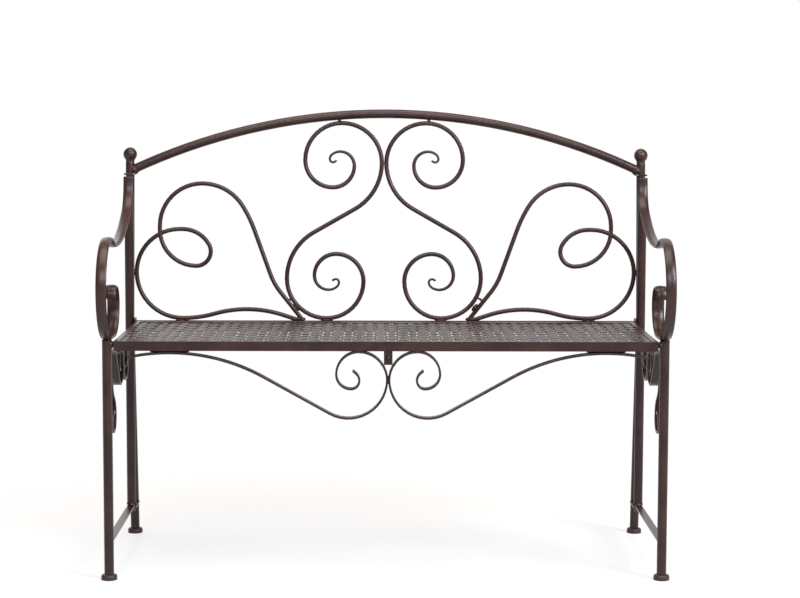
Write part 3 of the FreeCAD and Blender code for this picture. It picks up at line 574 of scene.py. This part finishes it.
@dataclass
class Back:
    """The scrolls and loops under the arched rail, with their spacers, and the turned finials."""

    finishes: Finishes
    lean: float = 5.0
    knee_setback: float = 368.5
    knee_height: float = 450.0
    rod: float = 9.0
    weld_gap: float = 0.1
    # Bends are radii of quarter turns, or a radius with its turn in degrees.
    volute: tuple[float, ...] = (81, 75, 56, 44, 29)
    eye: tuple[tuple[float, float], ...] = ((26, 40), (12, 50), (6.5, 120))
    hook: float = 5.0
    joint_height: float = 321.0
    scroll_shift: float = -3.5
    scroll_reach: float = 193.0
    run_share: float = 0.458
    tip_share: float = 0.52
    taper: float = 150.0
    post_spread: float = 520.0
    post_radius: float = 9.0
    post_reach: float = 318.0
    spacer_spread: float = 91.0
    spacer_height: float = 407.4
    loop_inset: float = 60.5
    loop_crown: float = 86.0
    loop_shoulder: tuple[float, float] = (97, 58)
    loop_flank: tuple[float, float] = (260, 12)
    # The tail's bend, its slope down to the rail, and the height where it starts to run straight.
    loop_tail: tuple[float, float, float] = (130, 51.3, 57.5)
    tail_foot: float = 0.5
    loop_side_run: float = 7.8
    loop_belly: float = 74.0
    loop_small: tuple[float, float] = (29.5, 120)
    loop_rise: float = 75.0
    lower_loop: float = 87.0
    lower_foot: float = 94.0
    wave: tuple[float, float] = (239, 15.8)
    # How many degrees early the wave's last bend ends, and the straight end after it.
    wave_end: tuple[float, float] = (4.0, 27)
    finial_radius: float = 14.0
    finial_centre: float = 19.5
    # Turned profiles are radii with their heights. The ball's turns are in degrees, with their step.
    finial_neck: tuple[tuple[float, float], ...] = (
        (0, -0.6), (9.05, -0.6), (9.15, 0.4), (8.95, 2.0), (8.7, 4.0), (8.75, 6.0), (9.2, 7.8))
    finial_turns: tuple[int, int, int] = (-46, 90, 8)
    spacer_waist: tuple[tuple[float, float], ...] = (
        (0, -3.2), (5, -3.2), (4.1, -1.3), (2.7, 0), (2.7, 0.5), (4, 1.6), (5, 3.2), (0, 3.2))

    def scroll(self, side: Side) -> None:
        """Build one S-scroll, drawn out at its tips.

        Args:
            side: The half of the back.
        """
        one = self.volute[0]
        seat = self.rod / 2 + self.weld_gap
        drop = self.joint_height - seat - one
        bend = self.run_share * (self.joint_height - one - self.rod / 2)
        shift = self.scroll_reach - 2 * bend
        span = math.hypot(shift, drop)
        turn = math.degrees(math.atan(shift / drop) + math.asin(2 * bend / span))
        upper = [run(self.hook), *(right(*arc) for arc in reversed(self.eye)),
                 *(right(radius) for radius in reversed(self.volute))]
        waist = [right(bend, turn), run(math.sqrt(span ** 2 - 4 * bend ** 2)), left(bend, turn)]
        lower = [*(left(radius) for radius in self.volute), *(left(*arc) for arc in self.eye), run(self.hook)]
        heading = sum(sweep for _, sweep in self.eye) + 90 * len(self.volute) - 90
        u, v = walk(heading, upper)
        start = (-(self.rod + self.weld_gap) / 2 - u, self.joint_height - v)
        bar = Bar(back_plane(self.scroll_shift, side), Section(self.rod, self.rod), start, heading,
                  upper + waist + lower, tip_round=1.6, tip_share=self.tip_share, taper=self.taper)
        name = f"{side.word}_back_scroll"
        make_piece(f"{name}_rod", bar.build(), self.finishes, Body.FRAME, (name,))

    def loops(self, side: Side) -> None:
        """Build the rod of the two loops, from the upper loop's tail on the rail to the end of the wave.

        Args:
            side: The half of the back.
        """
        seat = self.rod / 2 + self.weld_gap
        hub = self.lower_loop + self.post_radius + seat - self.post_spread
        crossing = seat + self.lower_foot + self.lower_loop
        level = crossing + self.loop_side_run + self.loop_belly - self.loop_rise
        (shoulder, shoulder_turn), (flank, flank_turn) = self.loop_shoulder, self.loop_flank
        steep = shoulder_turn + flank_turn
        turned = [math.cos(math.radians(angle)) for angle in (shoulder_turn, steep)]
        tail, last, straight = self.loop_tail
        slope = math.radians(last)
        fall = level + self.loop_crown - shoulder * (1 - turned[0]) - flank * (turned[0] - turned[1]) - straight
        fall -= tail * (math.cos(slope) - turned[1])
        upper = [run((straight - self.tail_foot) / math.sin(slope)), right(tail, steep - last),
                 run(fall / math.sin(math.radians(steep))), left(flank, flank_turn),
                 left(shoulder, shoulder_turn), left(self.loop_crown)]
        u, v = walk(180 - last, upper)
        side_line = self.loop_inset - self.post_spread
        small, small_turn = self.loop_small
        bent = math.radians(small_turn)
        back = (self.loop_rise - small * (1 - math.cos(bent))) / (1 + math.cos(bent))
        inner = [run(self.loop_side_run), left(self.loop_belly), left(small, small_turn),
                 left(back, 180 - small_turn)]
        end = side_line + walk(-90, inner)[0]
        wave, rise = self.wave
        settle = math.degrees(math.acos(2 * math.cos(math.radians(rise)) - 1))
        short, wave_run = self.wave_end
        lower = [run(end - hub), left(self.lower_loop), left(self.lower_foot), left(wave, rise),
                 right(wave, rise + settle - short), run(wave_run)]
        bar = Bar(back_plane(0, side), Section(self.rod, self.rod), (side_line - u, level - v), 180 - last,
                  upper + inner + lower)
        nodes = tuple(f"{side.word}_{place}_loop" for place in ("upper", "lower"))
        make_piece(f"{side.word}_loops_rod", bar.build(), self.finishes, Body.FRAME, nodes)

    def finial(self, side: Side) -> None:
        """Build one ball finial with its flared neck.

        Args:
            side: The half of the back.
        """
        ball = []
        for degrees in range(*self.finial_turns):
            angle = math.radians(degrees)
            ball.append((self.finial_radius * math.cos(angle),
                         self.finial_centre + self.finial_radius * math.sin(angle)))
        profile = [*self.finial_neck, *ball, (0, self.finial_centre + self.finial_radius)]
        basis = back_plane(0, side).basis(-self.post_spread, self.post_reach, 90)
        name = f"{side.word}_finial"
        make_piece(f"{name}_turned", lathe(profile, basis), self.finishes, Body.FRAME, (name,))

    def spacers(self) -> None:
        """Build the two waisted weld stubs between the scrolls and the arched rail."""
        bm = bmesh.new()
        for side in Side:
            plane = back_plane(self.scroll_shift, side)
            join(bm, lathe(self.spacer_waist, plane.basis(-self.spacer_spread, self.spacer_height, 90), 16))
        make_piece("scroll_spacers_turned", bm, self.finishes, Body.FRAME, ("scroll_spacers",))

    def build(self) -> None:
        """Build both sides."""
        self.spacers()
        for side in Side:
            self.scroll(side)
            self.loops(side)
            self.finial(side)


@dataclass
class SideFrames:
    """The flat bars of the two side frames, with rolled edges."""

    finishes: Finishes
    leg_spread: float = 518.0
    leg_radius: float = 9.0
    leg_top: float = 452.0
    tube_setback: float = 350.0
    bar: Section = Section(19.0, 5.0, 1.4)
    arm_bar: Section = Section(19.6, 6.6, sides=24)
    arm_inset: float = 0.9
    weld_gap: float = 0.1
    arm_seat: float = 10.0
    # The inmost bend of the arm's curl, its turn in degrees, and the straight end before it.
    arm_eye: tuple[float, float, float] = (16, 80, 8.5)
    # The inner and the outer bend of the curl, and the flat on top of the leg.
    arm_curl: tuple[float, float, float] = (36, 55, 28)
    # How much wider the strap is at its tip, and the length over which it widens.
    arm_flare: tuple[float, float] = (1.25, 330)
    arm_front: float = 91.0
    arm_hump: float = 93.0
    arm_dip: tuple[float, float] = (120, 24)
    arm_sweep: float = 405.0
    # The bend up to the rear tube, and the straight end on it.
    arm_rise: tuple[float, float] = (70, 6.5)
    volute_low: float = 351.0
    volute_drop: float = 77.0
    volute_bend: float = 34.0
    volute_eye: tuple[float, float, float] = (14, 24, 32)
    volute_slope: float = 48.0
    volute_shoulder: float = 40.0
    curl_height: float = 378.0
    curl_neck: tuple[float, float] = (44, 61.6)
    curl_belly: float = 26.0
    curl_eye: float = 18.0
    curl_tip: tuple[float, float] = (10, 60)

    def plane(self, side: Side) -> Plane:
        """Return the plane of a side frame, from the foot of its front leg."""
        return Plane(Vector((side.value * self.leg_spread, LEG_Y, 0)), Vector((0, 1, 0)), Vector((0, 0, 1)))

    def add(self, side: Side, name: str, bar: Bar) -> None:
        """Build one bar in place of its CAD node.

        Args:
            side: The end of the bench.
            name: The node's name without its side.
            bar: The bar.
        """
        node = f"{side.word}_{name}"
        make_piece(f"{node}_bar", bar.build(), self.finishes, Body.FRAME, (node,),
                   flat_faces=bool(bar.section.edge))

    def arm(self, side: Side) -> None:
        """Build the arm strap, from the eye of its curl to the top of the rear tube.

        Args:
            side: The end of the bench.
        """
        half = self.bar.thickness / 2
        tip, curl, flat = self.arm_curl
        dip, dip_turn = self.arm_dip
        rise, end = self.arm_rise
        eye, eye_turn, end_run = self.arm_eye
        inner = [run(end_run), right(eye, eye_turn), right(tip)]
        u, v = walk(eye_turn, inner)
        start = (self.arm_seat + flat + curl - u, self.leg_top + half + curl - v)
        low = self.arm_seat - self.arm_front + self.arm_hump
        low += (self.arm_hump + dip) * math.sin(math.radians(dip_turn))
        face = self.tube_setback - self.leg_radius - half - self.weld_gap
        sweep = math.degrees(math.asin((face - low - rise) / (self.arm_sweep - rise)))
        plane = self.plane(side)
        plane.origin.x -= side.value * self.arm_inset
        share, taper = self.arm_flare
        self.add(side, "arm_strap", Bar(plane, self.arm_bar, start, eye_turn, [
            *inner, right(curl), run(flat), right(self.arm_front), right(self.arm_hump, 90 + dip_turn),
            left(dip, dip_turn), left(self.arm_sweep, sweep), left(rise, 90 - sweep), run(end)],
            tip_round=1.5, tip_share=share, taper=taper, first_only=True))

    def volutes(self, side: Side) -> None:
        """Build the two volutes under the seat's side.

        Args:
            side: The end of the bench.
        """
        half = self.bar.thickness / 2
        eye, inner, crown = self.volute_eye
        slope = math.radians(self.volute_slope)
        joint = self.tube_setback / 2 - half - self.weld_gap / 2
        start = (joint - crown - inner + eye, self.volute_low + self.volute_bend + crown - inner - eye)
        rounds = self.volute_bend + self.volute_shoulder
        fall = (self.volute_drop - rounds * (1 - math.cos(slope))) / math.sin(slope)
        end = (joint - self.volute_bend - rounds * math.sin(slope) - fall * math.cos(slope) - self.leg_radius
               - self.weld_gap)
        bends = [right(eye), right(inner), right(crown), right(self.volute_bend, 90 + self.volute_slope),
                 run(fall), left(self.volute_shoulder, self.volute_slope), run(end)]
        front = self.plane(side)
        rear = Plane(front.origin + Vector((0, self.tube_setback, 0)), -front.across, front.up)
        self.add(side, "front_volute", Bar(front, self.bar, start, 180, bends))
        self.add(side, "rear_volute", Bar(rear, self.bar, start, 180, bends))

    def curl(self, side: Side) -> None:
        """Build the curl behind the front leg.

        Args:
            side: The end of the bench.
        """
        neck, turn = self.curl_neck
        width = 2 * neck * (1 - math.cos(math.radians(turn)))
        start = (self.leg_radius + self.bar.thickness / 2 + self.weld_gap, self.curl_height)
        self.add(side, "leg_curl", Bar(self.plane(side), self.bar, start, -90, [
            left(neck, turn), right(neck, turn), right(self.curl_belly), right(width - self.curl_belly),
            right(self.curl_eye), right(*self.curl_tip)]))

    def build(self) -> None:
        """Build both side frames."""
        for side in Side:
            self.arm(side)
            self.volutes(side)
            self.curl(side)


@dataclass
class Seat:
    """The woven straps of the seat and the apron scrolls under its front rail."""

    finishes: Finishes
    inner_length: float = 990.0
    weave_front: float = 2.0
    weave_back: float = 329.0
    weave_level: float = 448.2
    pitch: float = 20.6
    strap_width: float = 12.4
    strap_thickness: float = 1.2
    strap_steps: int = 6
    strap_lanes: int = 4
    edge_gap: float = 2.3
    swing: float = 1.0
    swing_power: float = 0.7
    end_phase: float = 0.3
    crown: float = 0.35
    # How far a strap woven by hand lies off its line, sideways and in height.
    stray: float = 0.7
    sag: float = 0.3
    seed: int = 7
    apron_shift: float = 3.7
    apron_middle: float = 2.0
    apron_bar: Section = Section(19.0, 4.0, 1.1)
    apron_reach: float = 484.0
    apron_top: float = 430.0
    apron_sink: float = 2.6
    apron_shoulder: float = 360.0
    apron_slope: float = 29.0
    apron_foot: float = 72.0
    apron_volute: tuple[float, ...] = (52.5, 42, 27.5, 15.5)
    # The last bend of the volute, its turn in degrees, and the straight end.
    apron_tip: tuple[float, float, float] = (18.4, 50, 7.5)
    weld_gap: float = 0.1

    def centres(self, low: float, high: float) -> list[float]:
        """Space out as many straps as fit between two edges.

        Args:
            low: The first edge.
            high: The second edge.

        Returns:
            The middles of the straps.
        """
        room = high - low - self.strap_width - 2 * self.edge_gap
        count = math.floor(room / self.pitch) + 1
        return [(low + high) / 2 + (i - (count - 1) / 2) * self.pitch for i in range(count)]

    def straps(self, lines: list[float], crossings: list[float], low: float, high: float,
               along_x: bool) -> bmesh.types.BMesh:
        """Build the straps of one direction, waving over and under those that cross them.

        Args:
            lines: The middles of the straps.
            crossings: The middles of the straps that cross them.
            low: Where the straps start.
            high: Where they end.
            along_x: Whether they run along X, or else along Y.

        Returns:
            The mesh of all of them.
        """
        bm = bmesh.new()
        steps = self.strap_steps * (len(crossings) + 1)
        last = len(crossings) - 1
        hand = random.Random(self.seed)
        for index, line in enumerate(lines):
            line += hand.uniform(-self.stray, self.stray)
            sag = hand.uniform(-self.sag, self.sag)
            made = bmesh.ops.create_grid(bm, x_segments=steps, y_segments=self.strap_lanes, size=0.5)["verts"]
            sign = 1 if (index % 2 == 0) == along_x else -1
            for vert in made:
                along = (low + high) / 2 + vert.co.x * (high - low)
                aside = vert.co.y * self.strap_width
                phase = min(max((along - crossings[0]) / self.pitch, -self.end_phase), last + self.end_phase)
                wave = math.cos(math.pi * phase)
                height = sign * self.swing * math.copysign(abs(wave) ** self.swing_power, wave)
                height += sag - self.crown * (2 * aside / self.strap_width) ** 2
                x, y = (along, line + aside) if along_x else (line + aside, along)
                vert.co = Vector((x, LEG_Y + y, self.weave_level + height)) * MM
        bmesh.ops.recalc_face_normals(bm, faces=bm.faces[:])
        bmesh.ops.solidify(bm, geom=bm.faces[:], thickness=self.strap_thickness * MM)
        return bm

    def weave(self) -> None:
        """Build the long and the cross straps."""
        half = self.inner_length / 2
        columns = self.centres(-half, half)
        rows = self.centres(self.weave_front, self.weave_back)
        long_straps = self.straps(rows, columns, -half, half, True)
        make_piece("long_straps_woven", long_straps, self.finishes, Body.SEAT, ("seat_long_straps",))
        cross_straps = self.straps(columns, rows, self.weave_front, self.weave_back, False)
        make_piece("cross_straps_woven", cross_straps, self.finishes, Body.SEAT, ("seat_cross_straps",))

    def apron_plane(self, side: Side) -> Plane:
        """Return the upright plane of the apron, with across pointing to the middle from a side."""
        origin = Vector((self.apron_shift, LEG_Y + self.apron_middle, 0))
        return Plane(origin, Vector((-side.value, 0, 0)), Vector((0, 0, 1)))

    @property
    def apron_crest(self) -> float:
        """Find the crest of an apron scroll's arch.

        Returns:
            How far from the middle it meets the rail.
        """
        slope = math.radians(self.apron_slope)
        rounds = self.apron_foot + self.apron_shoulder
        return ((self.apron_bar.thickness + self.weld_gap) / 2 + self.apron_foot + rounds * math.sin(slope)
                + self.apron_fall * math.cos(slope))

    @property
    def apron_fall(self) -> float:
        """Find the straight stretch of an apron scroll.

        Returns:
            Its length.
        """
        slope = math.radians(self.apron_slope)
        rounds = self.apron_foot + self.apron_shoulder
        drop = self.apron_volute[0] + self.apron_foot - self.apron_sink
        return (drop - rounds * (1 - math.cos(slope))) / math.sin(slope)

    def apron(self, side: Side) -> None:
        """Build one apron scroll, from its drooping outer end to the tip of its volute.

        Args:
            side: The half of the apron.
        """
        droop = math.asin((self.apron_reach - self.apron_crest) / self.apron_shoulder)
        crest = self.apron_top - self.apron_sink
        start = (-self.apron_reach, crest - self.apron_shoulder * (1 - math.cos(droop)))
        tip, turn, end = self.apron_tip
        bends = [right(self.apron_shoulder, math.degrees(droop) + self.apron_slope), run(self.apron_fall),
                 left(self.apron_foot, 90 + self.apron_slope)]
        bends += [left(radius) for radius in self.apron_volute]
        bends += [left(tip, turn), run(end)]
        bar = Bar(self.apron_plane(side), self.apron_bar, start, math.degrees(droop), bends, tip_round=0.9)
        node = f"{side.word}_apron_scroll"
        make_piece(f"{node}_bar", bar.build(), self.finishes, Body.SEAT, (node,), flat_faces=True)

    def build(self) -> None:
        """Build the weave and both apron scrolls."""
        self.weave()
        for side in Side:
            self.apron(side)


@dataclass(frozen=True)
class Bead:
    """One weld bead: its middle in a plane, its direction there, and its length, height and depth."""

    u: float
    v: float
    angle: float
    length: float
    height: float
    depth: float
    ripple_mm: float = 5.0
    ripple_swell: float = 0.1

    def build(self, bm: bmesh.types.BMesh, plane: Plane) -> None:
        """Add the bead to a mesh as a lump with the ripples of the weld.

        Args:
            bm: The mesh.
            plane: The plane of the bars that it joins.
        """
        ripples = max(2, round(self.length / self.ripple_mm))
        verts = bmesh.ops.create_uvsphere(bm, u_segments=12, v_segments=4 * ripples + 2, radius=1.0)["verts"]
        for vert in verts:
            swell = 1 + self.ripple_swell * math.cos(math.pi * ripples * vert.co.z)
            vert.co = Vector((vert.co.x * swell, vert.co.y * swell, vert.co.z))
        size = Matrix.Diagonal((self.height / 2 * MM, self.depth / 2 * MM, self.length / 2 * MM, 1))
        bmesh.ops.transform(bm, matrix=plane.basis(self.u, self.v, self.angle) @ size, verts=verts)


@dataclass
class Welds:
    """The weld beads and fillets where bars meet, painted over with them."""

    finishes: Finishes
    back: Back
    sides: SideFrames
    seat: Seat
    rail_slope: float = 25.4
    rail_end: float = 301.8
    rail_fillet: tuple[tuple[float, float], ...] = (
        (0, 3), (8.4, 3), (9.9, 7), (10.3, 9.5), (9.5, 12), (8.6, 14.5), (8.1, 17), (0, 17))
    scroll_foot: float = 4.0
    bead_rise: float = 0.6
    post_bead_height: float = 98.0
    loop_beads: tuple[Bead, ...] = (
        Bead(-421, 0.6, 0, 11, 5, 8),
        Bead(-405, 0.6, 0, 9, 5, 8),
        Bead(-174.5, 3.0, 0, 24, 9, 8),
        Bead(-181.6, 26.9, -50, 18, 8, 8),
        Bead(-194, 42.9, 30, 16, 5, 5),
    )
    arm_height: float = 722.0
    volute_height: float = 386.0
    volute_end_height: float = 428.0
    curl_height: float = 366.0
    stretcher_height: float = 72.0
    stretcher_top: float = 74.0
    leg_face: float = 10.5
    curl_face: float = 10.4
    stretcher_face: float = 10.2
    leg_cup: tuple[tuple[float, float], ...] = (
        (0, -6), (9.05, -6), (9.15, -3), (9.3, -1), (9, -0.2), (0, -0.2))
    peg_collar: tuple[tuple[float, float], ...] = (
        (0, -3), (7.6, -3), (7.4, 0.4), (6.2, 2.0), (4.6, 3.0), (0, 3.0))
    tube_ring: tuple[tuple[float, float], ...] = (
        (0, 0.2), (10.6, 0.2), (10.2, 1.4), (9.4, 3), (9.05, 5), (0, 5))
    apron_rise: float = 1.4
    tie_bead: Bead = Bead(-10.5, 405, -45, 11, 5, 6)

    def on_back(self, side: Side) -> bmesh.types.BMesh:
        """Build the welds of one half of the back.

        Args:
            side: The half of the back.

        Returns:
            Their mesh.
        """
        bm = bmesh.new()
        plane = back_plane(0, side)
        post = self.back.post_spread - self.back.post_radius
        shift = -side.value * self.back.scroll_shift
        foot = self.back.scroll_reach - self.back.volute[0] + self.scroll_foot
        beads = [
            Bead(shift - foot, self.bead_rise, 0, 24, 5, 9),
            Bead(self.bead_rise - post, self.post_bead_height, 90, 12, 4, 7),
            *self.loop_beads,
        ]
        for bead in beads:
            bead.build(bm, plane)
        join(bm, lathe(self.rail_fillet, plane.basis(-self.back.post_spread, self.rail_end, self.rail_slope)))
        return bm

    def on_side(self, side: Side) -> bmesh.types.BMesh:
        """Build the welds of one side frame.

        Args:
            side: The end of the bench.

        Returns:
            Their mesh.
        """
        bm = bmesh.new()
        plane = self.sides.plane(side)
        tube = self.sides.tube_setback
        beads = [
            Bead(tube - self.leg_face, self.arm_height, 90, 24, 5, 15),
            Bead(tube / 2, self.volute_height, 90, 26, 5, 15),
            Bead(self.leg_face, self.volute_end_height, 0, 8, 8, 14),
            Bead(tube - self.leg_face, self.volute_end_height, 0, 8, 8, 14),
            Bead(self.curl_face, self.curl_height, 90, 22, 5, 14),
            Bead(self.stretcher_face, self.stretcher_height, 90, 8, 6, 13),
        ]
        for bead in beads:
            bead.build(bm, plane)
        join(bm, lathe(self.leg_cup, plane.basis(0, self.sides.leg_top, 90)))
        low, high = (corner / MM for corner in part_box("seat_pegs"))
        face = Vector((side.value * (self.sides.leg_spread - self.sides.leg_radius), *((low + high) / 2).yz))
        inward = Plane(face, Vector((-side.value, 0, 0)), Vector((0, 0, 1)))
        join(bm, lathe(self.peg_collar, inward.basis(0, 0, 0)))
        join(bm, lathe(self.tube_ring, plane.basis(tube, self.stretcher_top, 90)))
        return bm

    def on_seat(self) -> bmesh.types.BMesh:
        """Build the welds of the apron and its tie plate.

        Returns:
            Their mesh.
        """
        bm = bmesh.new()
        sink = self.seat.apron_sink
        level = self.seat.apron_top + self.apron_rise
        crown = self.seat.apron_volute[0] + self.seat.apron_bar.thickness / 2
        for side in Side:
            plane = self.seat.apron_plane(side)
            Bead(-self.seat.apron_crest, level - sink / 2, 0, 74, 4 + sink, 9).build(bm, plane)
            Bead(-crown, level, 0, 28, 4, 9).build(bm, plane)
            self.tie_bead.build(bm, plane)
        joint = self.seat.apron_top - self.seat.apron_volute[0]
        Bead(0, joint, 90, 16, 6, 8).build(bm, self.seat.apron_plane(Side.RIGHT))
        return bm

    def build(self) -> None:
        """Build every weld, one piece for each half of the back, each side frame and the seat."""
        for side in Side:
            make_piece(f"{side.word}_back_welds", self.on_back(side), self.finishes, Body.FRAME)
            make_piece(f"{side.word}_side_welds", self.on_side(side), self.finishes, Body.FRAME)
        make_piece("apron_welds", self.on_seat(), self.finishes, Body.SEAT)


@dataclass
class CarriedNodes:
    """The CAD nodes whose shape is right, which stay and get the finish of their slot in the record."""

    finishes: Finishes

    def build(self) -> None:
        """Dress every node that is still shown."""
        slots = {row["node"]: Slot(row["material_slot"]) for row in frame["record"]["subparts"]}
        for name, obj in frame["nodes"].items():
            if obj.hide_render:
                continue
            dress(obj, self.finishes.by_slot[slots[name]])
            LOG.info("%s: dressed as %s", name, slots[name].value)


@dataclass(frozen=True)
class Softbox:
    """One soft box that looks at the middle of the bench; its place and size are in metres."""

    name: str
    at: tuple[float, float, float]
    size: tuple[float, float]
    watts: float
    shade: str = "ffffff"
    target: tuple[float, float, float] = (0, 0, 0.5)

    def hang(self) -> None:
        """Hang the lamp."""
        data = bpy.data.lights.new(self.name, "AREA")
        data.shape, data.size, data.size_y, data.energy = "RECTANGLE", *self.size, self.watts
        data.color = linear(self.shade)[:3]
        lamp = bpy.data.objects.new(self.name, data)
        place = Vector(self.at)
        aim = (Vector(self.target) - place).to_track_quat("-Z", "Y").to_matrix().to_4x4()
        lamp.matrix_world = Matrix.Translation(place) @ aim
        bpy.context.scene.collection.objects.link(lamp)


def sight_rays(tree: bpy.types.NodeTree) -> tuple[bpy.types.NodeSocket, bpy.types.NodeSocket]:
    """Tell the rays that show a surface to the eye from those that only light it.

    Args:
        tree: The tree that gets the nodes.

    Returns:
        A value that is 1 for the camera's rays, and one that is 1 for reflected and refracted rays.
    """
    rays = add_node(tree, "ShaderNodeLightPath").outputs
    mirrored = add_node(tree, "ShaderNodeMath", {0: rays["Is Glossy Ray"], 1: rays["Is Transmission Ray"]},
                        operation="MAXIMUM")
    return rays["Is Camera Ray"], mirrored.outputs[0]


@dataclass
class Studio:
    """A pale floor, soft light from boxes and a pale backdrop, and the camera of the photograph."""

    camera_at: tuple[float, float, float] = (-15.5, -3900.5, 877.9)
    camera_pitch: float = 5.352
    camera_yaw: float = 0.621
    camera_roll: float = 0.164
    lens: float = 90.82
    sensor: float = 36.0
    shift: float = 0.0003
    sight_m: float = 200.0
    floor_radius_m: float = 40.0
    floor_fade_m: tuple[float, float] = (0.3, 1.6)
    floor_pale: str = "f4f4f4"
    floor_dim: str = "b2b2b2"
    floor_glow: float = 0.6
    room: float = 0.25
    backdrop: float = 1.1
    # How far back a direction points where the backdrop begins, and where it is full.
    backdrop_reach: tuple[float, float] = (0.5, 0.86)
    boxes: tuple[Softbox, ...] = (
        Softbox("key_box", (2.4, -2.2, 2.4), (1.2, 1.6), 125),
        Softbox("top_box", (0.0, -0.4, 3.0), (2.6, 1.8), 70, "fff1e2"),
        Softbox("front_box", (-0.1, -3.1, 2.4), (2.4, 0.8), 66, "e8eeff"),
        Softbox("back_box", (-2.2, 3.0, 2.0), (3.2, 2.2), 18),
    )

    def camera(self) -> None:
        """Place the camera where the photograph was taken."""
        data = bpy.data.cameras.new("photo_camera")
        data.lens, data.sensor_width = self.lens, self.sensor
        data.shift_x, data.shift_y = self.shift, -self.shift
        data.clip_end = self.sight_m
        camera = bpy.data.objects.new("photo_camera", data)
        turn = (Matrix.Rotation(math.radians(-self.camera_yaw), 4, "Z")
                @ Matrix.Rotation(math.radians(90 - self.camera_pitch), 4, "X")
                @ Matrix.Rotation(math.radians(self.camera_roll), 4, "Z"))
        camera.matrix_world = Matrix.Translation(Vector(self.camera_at) * MM) @ turn
        bpy.context.scene.collection.objects.link(camera)
        bpy.context.scene.camera = camera

    def floor(self) -> None:
        """Lay the pale floor, which fades to white away from the bench's shadow."""
        bm = bmesh.new()
        bmesh.ops.create_circle(bm, cap_ends=True, segments=96, radius=self.floor_radius_m)
        mesh = bpy.data.meshes.new("floor")
        bm.to_mesh(mesh)
        bm.free()
        floor = bpy.data.objects.new("floor", mesh)
        bpy.context.scene.collection.objects.link(floor)
        material = bpy.data.materials.new("studio_floor_paint")
        material.use_nodes = True
        tree = material.node_tree
        tree.nodes.clear()
        place = add_node(tree, "ShaderNodeTexCoord").outputs["Object"]
        away = add_node(tree, "ShaderNodeVectorMath", {0: place}, operation="LENGTH").outputs["Value"]
        near, far = self.floor_fade_m
        glow = add_node(tree, "ShaderNodeMapRange", {
            "Value": away, "From Min": near, "From Max": far, "To Min": self.floor_glow},
            interpolation_type="SMOOTHSTEP").outputs[0]
        camera, mirrored = sight_rays(tree)
        seen = add_node(tree, "ShaderNodeMath", {0: camera, 1: mirrored}, operation="MAXIMUM").outputs[0]
        blend = add_node(tree, "ShaderNodeMath", {0: glow, 1: seen}, operation="MULTIPLY").outputs[0]
        shade = add_node(tree, "ShaderNodeMix", {
            0: seen, 6: linear(self.floor_dim), 7: linear(self.floor_pale)}, data_type="RGBA").outputs[2]
        matt = add_node(tree, "ShaderNodeBsdfDiffuse", {"Color": shade}).outputs[0]
        white = add_node(tree, "ShaderNodeEmission", {"Strength": 1.0}).outputs[0]
        mixed = add_node(tree, "ShaderNodeMixShader", {0: blend, 1: matt, 2: white}).outputs[0]
        add_node(tree, "ShaderNodeOutputMaterial", {"Surface": mixed})
        dress(floor, material)

    def world(self) -> None:
        """Light the room: a pale backdrop behind the bench that shows white, and a dimmer room in front."""
        world = bpy.data.worlds.new("studio_room")
        bpy.context.scene.world = world
        world.use_nodes = True
        tree = world.node_tree
        tree.nodes.clear()
        place = add_node(tree, "ShaderNodeTexCoord").outputs["Generated"]
        depth = add_node(tree, "ShaderNodeSeparateXYZ", {0: place}).outputs["Y"]
        near, far = self.backdrop_reach
        behind = add_node(tree, "ShaderNodeMapRange", {"Value": depth, "From Min": near, "From Max": far},
                          interpolation_type="SMOOTHSTEP").outputs[0]
        strength = add_node(tree, "ShaderNodeMapRange", {
            "Value": behind, "To Min": self.room, "To Max": self.backdrop}).outputs[0]
        camera, mirrored = sight_rays(tree)
        shown = add_node(tree, "ShaderNodeMath", {0: mirrored, 1: behind}, operation="MULTIPLY").outputs[0]
        seen = add_node(tree, "ShaderNodeMath", {0: camera, 1: shown}, operation="MAXIMUM").outputs[0]
        level = add_node(tree, "ShaderNodeMix", {0: seen, 2: strength, 3: 1.0}).outputs[0]
        light = add_node(tree, "ShaderNodeBackground", {"Color": (1, 1, 1, 1), "Strength": level}).outputs[0]
        add_node(tree, "ShaderNodeOutputWorld", {"Surface": light})

    def build(self) -> None:
        """Set the stage."""
        bpy.context.scene.view_settings.view_transform = "Standard"
        self.camera()
        self.floor()
        self.world()
        for box in self.boxes:
            box.hang()


def main() -> None:
    """Build the bench's looks in order."""
    logging.basicConfig(level=logging.INFO, format="%(message)s")
    finishes = Finishes()
    finishes.build()
    Studio().build()
    back, sides, seat = Back(finishes), SideFrames(finishes), Seat(finishes)
    back.build()
    sides.build()
    seat.build()
    Welds(finishes, back, sides, seat).build()
    CarriedNodes(finishes).build()


if __name__ == "__main__":
    main()
